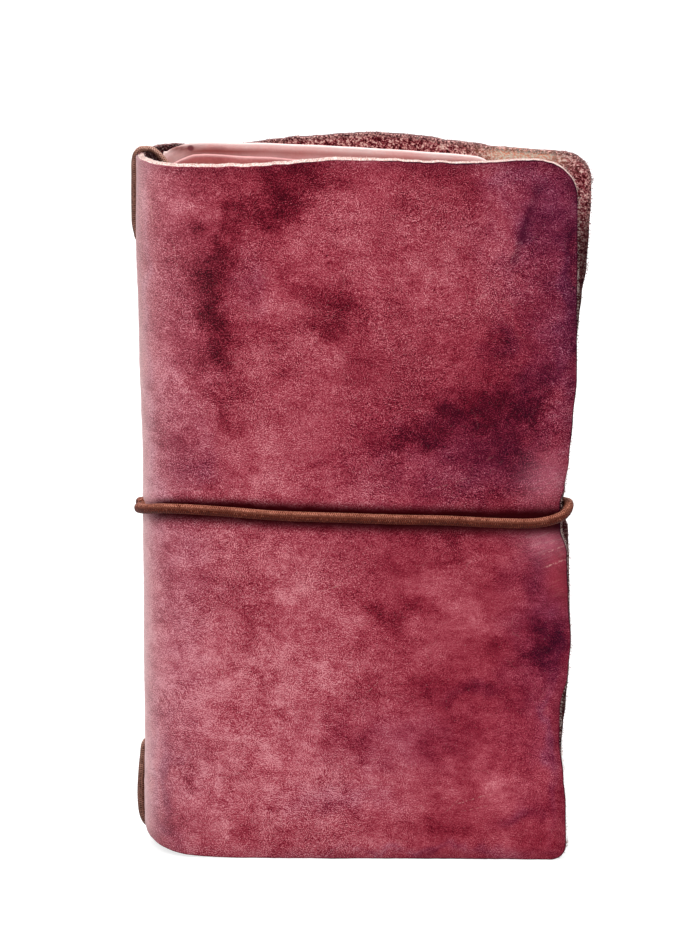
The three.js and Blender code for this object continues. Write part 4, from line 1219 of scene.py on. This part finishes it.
# It is stretched thin where it is pulled over the spine's top edge
over_top = (np.array([4.0, CORD_Y - 0.6, COVER_H]), 7.5, 0.3)
holding = tube("holding_cord", route, CORD_R, CORD, rib=0.04, pitch=0.9, thinned=over_top)
settle(holding, "elastic", "holding_elastic", body="spine")
hold_x = wall_in + KNOT_STAND + KNOT_HALF[0]
knot("holding_knot_upper", (hold_x, CORD_Y, UPPER_HOLE), KNOT_HALF, 0.95, CORD, "holding_knot_top", 0.4)
knot("holding_knot_lower", (hold_x, CORD_Y, LOWER_HOLE), KNOT_HALF, 0.95, CORD, "holding_knot_bottom", 1.3)


# The folder
def edge_rows(height, step=3.0):
    """Shares of a sheet's height, closer together at its edges."""
    near = np.array([0, 0.05, 0.14, 0.3, 0.6, 1.2, 2.4])
    middle = np.linspace(2.4, height - 2.4, max(3, int(height / step)))[1:-1]
    return np.concatenate([near, middle, height - near[::-1]]) / height


FOLD_R = 1.65
FOLDER_T = 1.3
FOLD_END = FOLD_X + 94.0
FOLDER_LOW = 4.5
LEAF_NEAR = 0.5
LEAF_FAR = LEAF_NEAR + FOLDER_T
LEAF_START = FOLD_X + 0.3
LEAF_CORNER = 7.0
LEAF_ROUND = 0.4
# Height that the upper corner beside the fold is cut down by, and how wide the cut is
FOLD_CORNER = (3.0, 6.0)
FOLD_INSET = 9.0
# Rise beside the fold, slope and sag of each leaf's top, and how far the top corner reaches spinewards
FOLDER_TOP = {-1: (0.6, -0.055, 0, 2.2), 1: (3.1, 0, 0.00048, 3.6)}


def folder_half(side, name, body, finish):
    """One leaf with its half of the fold round the holding elastic."""
    turns = np.linspace(0, math.pi / 2, 9)
    bend = np.stack([-np.cos(turns), np.sin(turns)], 1)
    xs = np.concatenate([
        LEAF_START + np.array([0, 0.25, 0.6, 1.1, 2, 3, 4]),
        np.linspace(LEAF_START + 5, FOLD_END - LEAF_CORNER - 2, 34),
        FOLD_END - LEAF_CORNER + LEAF_CORNER * np.sin(np.linspace(0, math.pi / 2, 14)),
    ])
    along = xs - LEAF_START
    near = lerp(FOLD_R, LEAF_NEAR, smoothstep(along / 6))
    inner = np.concatenate([(FOLD_X, 0) + bend * FOLD_R, np.stack([xs, near], 1)])
    outer = np.concatenate([(FOLD_X, 0) + bend * (FOLD_R + FOLDER_T), np.stack([xs, near + FOLDER_T], 1)])
    rise, slope, sag, flare = FOLDER_TOP[side]
    cut, cut_width = FOLD_CORNER
    corner = falls(FOLD_END - xs, LEAF_CORNER)
    near_fold = cut * (np.clip(cut_width - along, 0, cut_width) / cut_width) ** 1.4
    high = COVER_H + rise + slope * along - sag * along**2 - corner - near_fold
    high = high + 0.12 * ripple(xs, 0, 17, 61 + side)
    fold_low, fold_high = FOLDER_LOW + FOLD_INSET, COVER_H - FOLD_INSET
    blend_in = np.linspace(0, 1, len(turns)) ** 3
    if side > 0:
        high_fold = lerp(fold_high, high[0] - 0.3, smoothstep((turns - 0.7) / 0.4))
    else:
        high_fold = lerp(fold_high, fold_high + 0.4, blend_in)
    lows = np.concatenate([lerp(fold_low, fold_low - 0.4, blend_in), FOLDER_LOW + corner])
    rows = edge_rows(210, 3.2)
    z = grid_z(lows, np.concatenate([high_fold, high]), rows)
    fore = np.repeat(outer[:, :1], len(rows), 1)
    edge = rim_distance(fore, z)
    fall_by = falls(edge, LEAF_ROUND)
    across = outer - inner
    across = across / np.linalg.norm(across, axis=1)[:, None]
    wave = 0.1 * ripple(fore, z, 40, 71 + side) * smoothstep((fore - 20) / 20)

    def face(line, sign):
        px = line[:, :1] - sign * across[:, :1] * fall_by
        py = line[:, 1:] - sign * across[:, 1:] * fall_by + wave
        reach = smoothstep((z - COVER_H + 13) / 11) * (1 - smoothstep((px - LEAF_START) / 9))
        return np.stack([px - flare * reach, side * (py + 0.3 * reach), z], 2)

    points, faces = shell(face(outer, 1), face(inner, -1), side > 0, closed=False)
    fields = {"rest": points + (0, LEAF_REST_Y * side, 0), "edge": np.tile(edge.ravel(), 2)}
    # The nearer leaf throws a line of shade on the farther one
    front_rise, front_slope, *_ = FOLDER_TOP[-1]
    front_top = COVER_H + front_rise + front_slope * (points[:, 0] - LEAF_START)
    fields["shade"] = bump(points[:, 2], front_top + 0.5, 1.3) * (side > 0)
    piece = new_mesh(name, points, faces, (finish,), **fields)
    start, end = to_metres(FOLD_X - 2.2, side * 1.2), to_metres(FOLD_X + 1.4, side * 2.6)
    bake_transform(piece)
    settle(piece, "folder_leather", body, "folder_fold")


POCKETS = 3
POCKET_START, POCKET_END = 20.0, 70.0
POCKET_LOW, POCKET_H, POCKET_STEP = 9.0, 108.0, 16.0
POCKET_T, POCKET_GAP, POCKET_ROUND = 0.9, 0.2, 0.22
POCKETS_T = POCKETS * (POCKET_T + POCKET_GAP)
STITCH_PITCH, STITCH, STITCH_R, STITCH_INSET = 3.4, 2.5, 0.2, 1.8
# Share of a stitch's length, how far it is sunk there, and its thickness
STITCH_RINGS = ((0, 0.22, 0.5), (0.18, 0.02, 0.95), (0.5, 0, 1.05), (0.82, 0.02, 0.95), (1, 0.22, 0.5))


def pocket(name, side, place):
    """A card pocket with a shallow notch in its top, counted outwards from the leaf."""
    near = LEAF_FAR + POCKET_GAP + place * (POCKET_T + POCKET_GAP)
    margin = np.array([0, 0.05, 0.14, 0.3, 0.7])
    inside = np.linspace(POCKET_START + 1.5, POCKET_END - 1.5, 26)
    xs = np.concatenate([POCKET_START + margin, inside, POCKET_END - margin[::-1]])
    full = POCKET_H - place * POCKET_STEP
    high = POCKET_LOW + full - 0.9 * bump(xs, (POCKET_START + POCKET_END) / 2, 9)
    rows = edge_rows(full)
    z = grid_z(0 * xs + POCKET_LOW, high, rows)
    x = np.repeat(xs[:, None], len(rows), 1)
    edge = rim_distance(x, z)
    half = POCKET_T / 2 - falls(edge, POCKET_ROUND)
    middle = near + POCKET_T / 2
    outer, inner = (np.stack([x, side * (middle + sign * half), z], 2) for sign in (1, -1))
    points, faces = shell(outer, inner, side > 0)
    rest = points + (0, POCKET_REST_Y * side, 0)
    return new_mesh(name, points, faces, (FOLDER,), rest=rest, edge=np.tile(edge.ravel(), 2))


def stitches(name, side):
    """Saddle stitches down both sides and along the bottom of the pockets."""
    y = LEAF_FAR + POCKETS_T
    left, right = POCKET_START + STITCH_INSET, POCKET_END - STITCH_INSET
    low = POCKET_LOW + STITCH_INSET
    high = POCKET_LOW + POCKET_H - (POCKETS - 1) * POCKET_STEP - 1.5
    path = [(left, high), (left, low), (right, low), (right, high)]
    sides = 6
    points, faces, rest = [], [], []
    for (ax, az), (bx, bz) in zip(path[:-1], path[1:]):
        span = math.hypot(bx - ax, bz - az)
        count = int(span // STITCH_PITCH)
        ux, uz = (bx - ax) / span, (bz - az) / span
        for k in range(count):
            start = (k + 0.5) * span / count - STITCH / 2
            base = len(points)
            for part, sink, thick in STITCH_RINGS:
                at = start + STITCH * part
                for turn in np.arange(sides) / sides * math.tau:
                    lift = STITCH_R * thick * math.sin(turn)
                    wide = STITCH_R * thick * math.cos(turn)
                    out = side * (y + 0.02 - sink + lift)
                    points.append((ax + ux * at - uz * wide, out, az + uz * at + ux * wide))
                    rest.append((at, turn, k))
            for a in range(base, base + 4 * sides, sides):
                for j in range(sides):
                    n = (j + 1) % sides
                    faces.append([a + j, a + n, a + sides + n, a + sides + j])
            faces.append([base + j for j in range(sides)])
            faces.append([base + 4 * sides + j for j in range(sides)][::-1])
    return new_mesh(name, points, faces, (THREAD,), rest=rest)


for side, face, finish in ((-1, "front", SHADED_FRONT_LEAF), (1, "back", FOLDER)):
    leaf = "folder_" + face + "_leaf"
    folder_half(side, "folder_" + face, leaf, finish)
    for place in range(POCKETS):
        number = face + "_" + str(place + 1)
        piece = pocket("pocket_" + number, side, place)
        settle(piece, "folder_leather", "card_pocket_" + number, body=leaf)
    settle(stitches("stitching_" + face, side), "folder_leather", body=leaf)

# Notebooks: the same shares of the space between folder and leather as in the solids
NOTE_X, NOTE_W, NOTE_H, NOTE_LOW = 9.8, 93.0, 210.0, 4.2
NOTE_END = NOTE_X + NOTE_W
NOTE_HIGH = NOTE_LOW + NOTE_H
CARD_T, LAYER_GAP, CARD_GAP = 0.4, 0.3, 0.15
CARD_CORNER = 2.5
TAPER_X = 72.0
FOLD_OPEN, FOLD_REACH = 1.05, 5.0
SHEETS, TRIM = 9, 0.6
LOOP_R, LOOP_BEND = 0.7, 1.6
STAPLE_R, STAPLE_INSET = 0.3, 52


def stack_layers():
    """How far the notebook's layers lie from the middle plane, at its fold and its fore edge."""
    slope = abs(float(half_thickness(NOTE_END + 1) - half_thickness(NOTE_END)))
    fore_inner = float(half_thickness(NOTE_END)) - LEATHER * math.hypot(1, slope)
    at_fold = (LEAF_FAR + POCKETS_T + LAYER_GAP, INNER - 0.7)
    at_fore = (LEAF_FAR + LAYER_GAP, fore_inner - 0.36)
    for start, end in (at_fold, at_fore):
        pages = (end - start - 2 * (CARD_T + CARD_GAP) - LAYER_GAP) / 2
        yield dict(start=start, middle=start + CARD_T + CARD_GAP + pages + LAYER_GAP / 2, end=end)


AT_FOLD, AT_FORE = stack_layers()


def layer_at(key, x):
    share = np.maximum(0, (np.asarray(x, float) - TAPER_X) / (NOTE_END - TAPER_X))
    return lerp(AT_FOLD[key], AT_FORE[key], share)


def card_half(name, side, outer, body, node):
    """One half of a card cover, turned round the fold."""
    direction = 1 if outer else -1
    layer = "end" if outer else "start"
    middle = AT_FOLD["middle"]
    reach = abs(AT_FOLD[layer] - middle)
    turns = np.linspace(0, math.pi / 2, 8)[:-1]
    fore_xs = NOTE_END - np.array([1.0, 0.4, 0.1, 0])
    xs = np.concatenate([np.linspace(NOTE_X + reach, NOTE_END - 2, 34), fore_xs])
    far = layer_at(layer, xs)
    lines = []
    for radius, flat in ((reach, far), (reach - CARD_T, far - direction * CARD_T)):
        round_x = NOTE_X + reach - radius * np.cos(turns)
        round_y = middle + direction * np.maximum(0.1, radius * np.sin(turns))
        lines.append(np.stack([np.concatenate([round_x, xs]), np.concatenate([round_y, flat]) * side], 1))
    drop = falls(NOTE_END - lines[0][:, 0], CARD_CORNER)
    rows = edge_rows(NOTE_H, 7.0)
    z = grid_z(NOTE_LOW + drop, NOTE_HIGH - drop, rows)
    grids = [np.dstack([np.repeat(line[:, None, :], len(rows), 1), z]) for line in lines]
    points, faces = shell(*grids, side * direction > 0)
    rest = points + (0, CARD_HALF_REST_Y * direction + CARD_REST_Y * side, 0)
    settle(new_mesh(name, points, faces, (CARD,), rest=rest), "card", node, body=body)


# A sheet is four lines of points, low and high on its near and its far face. Each of its sides
# goes round by line and by place along it, and its ends by line.
SHEET_SIDES = (
    ((0, 0), (1, 0), (1, 1), (0, 1)),
    ((2, 0), (2, 1), (3, 1), (3, 0)),
    ((0, 0), (0, 1), (2, 1), (2, 0)),
    ((1, 0), (3, 0), (3, 1), (1, 1)),
)
SHEET_START = (0, 2, 3, 1)
SHEET_END = (0, 1, 3, 2)


def pages_half(name, side, outer, body, node, seed):
    """Half a page block as separate sheets, each trimmed a little differently."""
    rng = np.random.default_rng(seed)
    direction = 1 if outer else -1
    reach = AT_FOLD["end"] - AT_FOLD["middle"] - CARD_T - CARD_GAP
    start_x = NOTE_X + CARD_T + CARD_GAP + 0.6
    end_x = NOTE_END - TRIM
    xs = np.concatenate([
        start_x + np.array([0, 0.1, 0.3, 0.7]),
        np.linspace(start_x + 1.4, end_x - 1.5, 40),
        end_x - np.array([0.8, 0.35, 0.12, 0]),
    ])
    opening = FOLD_OPEN * (1 - smoothstep((xs - NOTE_X - FOLD_REACH) / 5))
    near = layer_at("middle", xs) + direction * np.maximum(LAYER_GAP / 2, opening)
    full = layer_at("end" if outer else "start", xs) - direction * (CARD_T + CARD_GAP)
    narrow = AT_FOLD["middle"] + direction * reach * 0.78
    far = lerp(narrow, full, smoothstep((xs - start_x) / 4))
    count = len(xs)
    points, faces = [], []
    for k in range(SHEETS):
        trimmed = np.minimum(xs, end_x - rng.uniform(0, 0.28))
        low = NOTE_LOW + TRIM + rng.uniform(0, 0.16)
        high = NOTE_HIGH - TRIM - rng.uniform(0, 0.16)
        base = 4 * count * k
        for share in (0.04, 0.96):
            y = side * lerp(near, far, (k + share) / SHEETS)
            points += [np.stack([trimmed, y, np.full_like(xs, z)], 1) for z in (low, high)]
        for i in range(base, base + count - 1):
            faces += [[i + line * count + step for line, step in around] for around in SHEET_SIDES]
        faces.append([base + line * count for line in SHEET_START])
        faces.append([base + line * count + count - 1 for line in SHEET_END])
    points = np.concatenate(points)
    if side * direction < 0:
        faces = [face[::-1] for face in faces]
    piece = new_mesh(name, points, faces, (PAPER,), rest=points)
    piece.data.polygons.foreach_set("use_smooth", [False] * len(faces))
    settle(piece, "paper", node, body=body)


def staple_points(y, z):
    crown = NOTE_X - CLEARANCE - STAPLE_R
    half, bend, leg = 6.0, 0.7, 2.4
    inset = 0.15 * bend
    upper = [(crown, half - bend), (crown + inset, half - inset), (crown + bend, half), (crown + leg, half)]
    return [(x, y, z - up) for x, up in upper[::-1]] + [(x, y, z + up) for x, up in upper]


def loop_points(y):
    stand = LOOP_R + CLEARANCE
    inside = NOTE_X + 3.0
    outside = NOTE_X - 0.6 - LOOP_R - LOOP_R
    low, high, bend = NOTE_LOW - stand, NOTE_HIGH + stand, LOOP_BEND
    up = [(inside, low + bend), (inside, (low + high) / 2), (inside, high - bend)]
    over = [(inside - bend * 0.4, high - bend * 0.2), (inside - bend, high), (outside + bend, high)]
    over += [(outside + bend * 0.4, high - bend * 0.2)]
    down = [(outside, high - bend), (outside, (low + high) / 2), (outside, low + bend)]
    under = [(x, low + high - z) for x, z in over[::-1]]
    return [(x, y, z) for x, z in up + over + down + under]


for book, side in (("notebook_a_", -1), ("notebook_b_", 1)):
    for outer in (True, False):
        half = "front" if (side < 0) == outer else "back"
        body = book + half + "_half"
        card_half(book + "cover_" + half, side, outer, body, book + "card_" + half)
        seed = 80 + side + 3 * outer
        pages_half(book + "sheets_" + half, side, outer, body, book + "pages_" + half, seed)
    inner_body = book + ("back_half" if side < 0 else "front_half")
    fold_y = side * AT_FOLD["middle"]
    for place, z in (("lower", NOTE_LOW + STAPLE_INSET), ("upper", NOTE_HIGH - STAPLE_INSET)):
        wire = tube(book + "wire_" + place, staple_points(fold_y, z), STAPLE_R, WIRE, 0.2, 8, 0.0)
        settle(wire, "staple_wire", book + "staple_" + place, body=inner_body)
    loop = tube(book + "loop", loop_points(fold_y), LOOP_R, CORD, 0.4, 10, 0.04, 0.7, closed=True)
    settle(loop, "elastic", book + "elastic", body=inner_body)

# The camera, placed as the photograph's was
CAMERA_AT = Vector(to_frame([83.51, -1644.74, 656.36]))
PITCH, YAW, ROLL = math.radians(18.026), math.radians(-0.728), math.radians(0.104)
FOCAL_PIXELS = 5760.9
PHOTO_PIXELS = 933
SENSOR = 36
ahead = Vector((math.sin(YAW) * math.cos(PITCH), math.cos(YAW) * math.cos(PITCH), -math.sin(PITCH)))
right = Vector((math.cos(YAW), -math.sin(YAW), 0))
tilted = right * math.cos(ROLL) + right.cross(ahead) * math.sin(ROLL)
axes = Matrix((tilted, tilted.cross(ahead), -ahead)).transposed()
camera = show("camera", bpy.data.cameras.new("camera"))
camera.data.lens = FOCAL_PIXELS / PHOTO_PIXELS * SENSOR
camera.data.sensor_width = SENSOR
camera.data.clip_end = 50
camera.matrix_world = Matrix.Translation(CAMERA_AT) @ axes.to_4x4()
bpy.context.scene.camera = camera


# Light and floor, in metres
def area_light(name, at, size, power):
    """A round lamp aimed near the object's middle."""
    lamp = bpy.data.lights.new(name, "AREA")
    lamp.shape = "DISK"
    lamp.size = size
    lamp.energy = power
    thing = show(name, lamp)
    thing.location = at
    thing.rotation_mode = "QUATERNION"
    thing.rotation_quaternion = (Vector((0, 0, 0.1)) - Vector(at)).to_track_quat("-Z", "Y")


def seen_directly(tree):
    """One for rays from the camera, off gloss and through glass, and nought for others."""
    path = tree.nodes.new("ShaderNodeLightPath").outputs
    seen = Signal(path["Is Camera Ray"])
    for kind in ("Is Glossy Ray", "Is Transmission Ray"):
        seen = seen.math("MAXIMUM", Signal(path[kind]))
    return seen


area_light("key", (-0.6, -1.2, 1.75), 0.8, 16)
area_light("fill", (1.2, -1.2, 0.7), 1.2, 4)
area_light("top", (0, 0.1, 1.9), 0.9, 17)

world = bpy.data.worlds.new("studio")
bpy.context.scene.world = world
world.use_nodes = True
tree = world.node_tree
background = tree.nodes["Background"].inputs
levels = {"Value": seen_directly(tree), "To Min": 0.58, "To Max": 1.0}
put(tree, (1, 1, 1, 1), background["Color"])
put(tree, add_node(tree, "ShaderNodeMapRange", levels), background["Strength"])

REACH = 6.0
floor_mesh = bpy.data.meshes.new("floor")
corners = [(-REACH, -REACH, 0), (REACH, -REACH, 0), (REACH, REACH, 0), (-REACH, REACH, 0)]
floor_mesh.from_pydata(corners, [], [(0, 1, 2, 3)])
floor = show("floor", floor_mesh)
pale = bpy.data.materials.new("floor_white")
pale.use_nodes = True
tree = pale.node_tree
tree.nodes.clear()
matte = add_node(tree, "ShaderNodeBsdfDiffuse", {"Color": (0.5, 0.5, 0.5, 1)})
glow = add_node(tree, "ShaderNodeEmission", {"Strength": seen_directly(tree) * 0.75})
surface = tree.nodes.new("ShaderNodeOutputMaterial").inputs[0]
put(tree, add_node(tree, "ShaderNodeAddShader", {0: matte, 1: glow}), surface)
floor_mesh.materials.append(pale)

bpy.context.scene.view_settings.view_transform = "Standard"
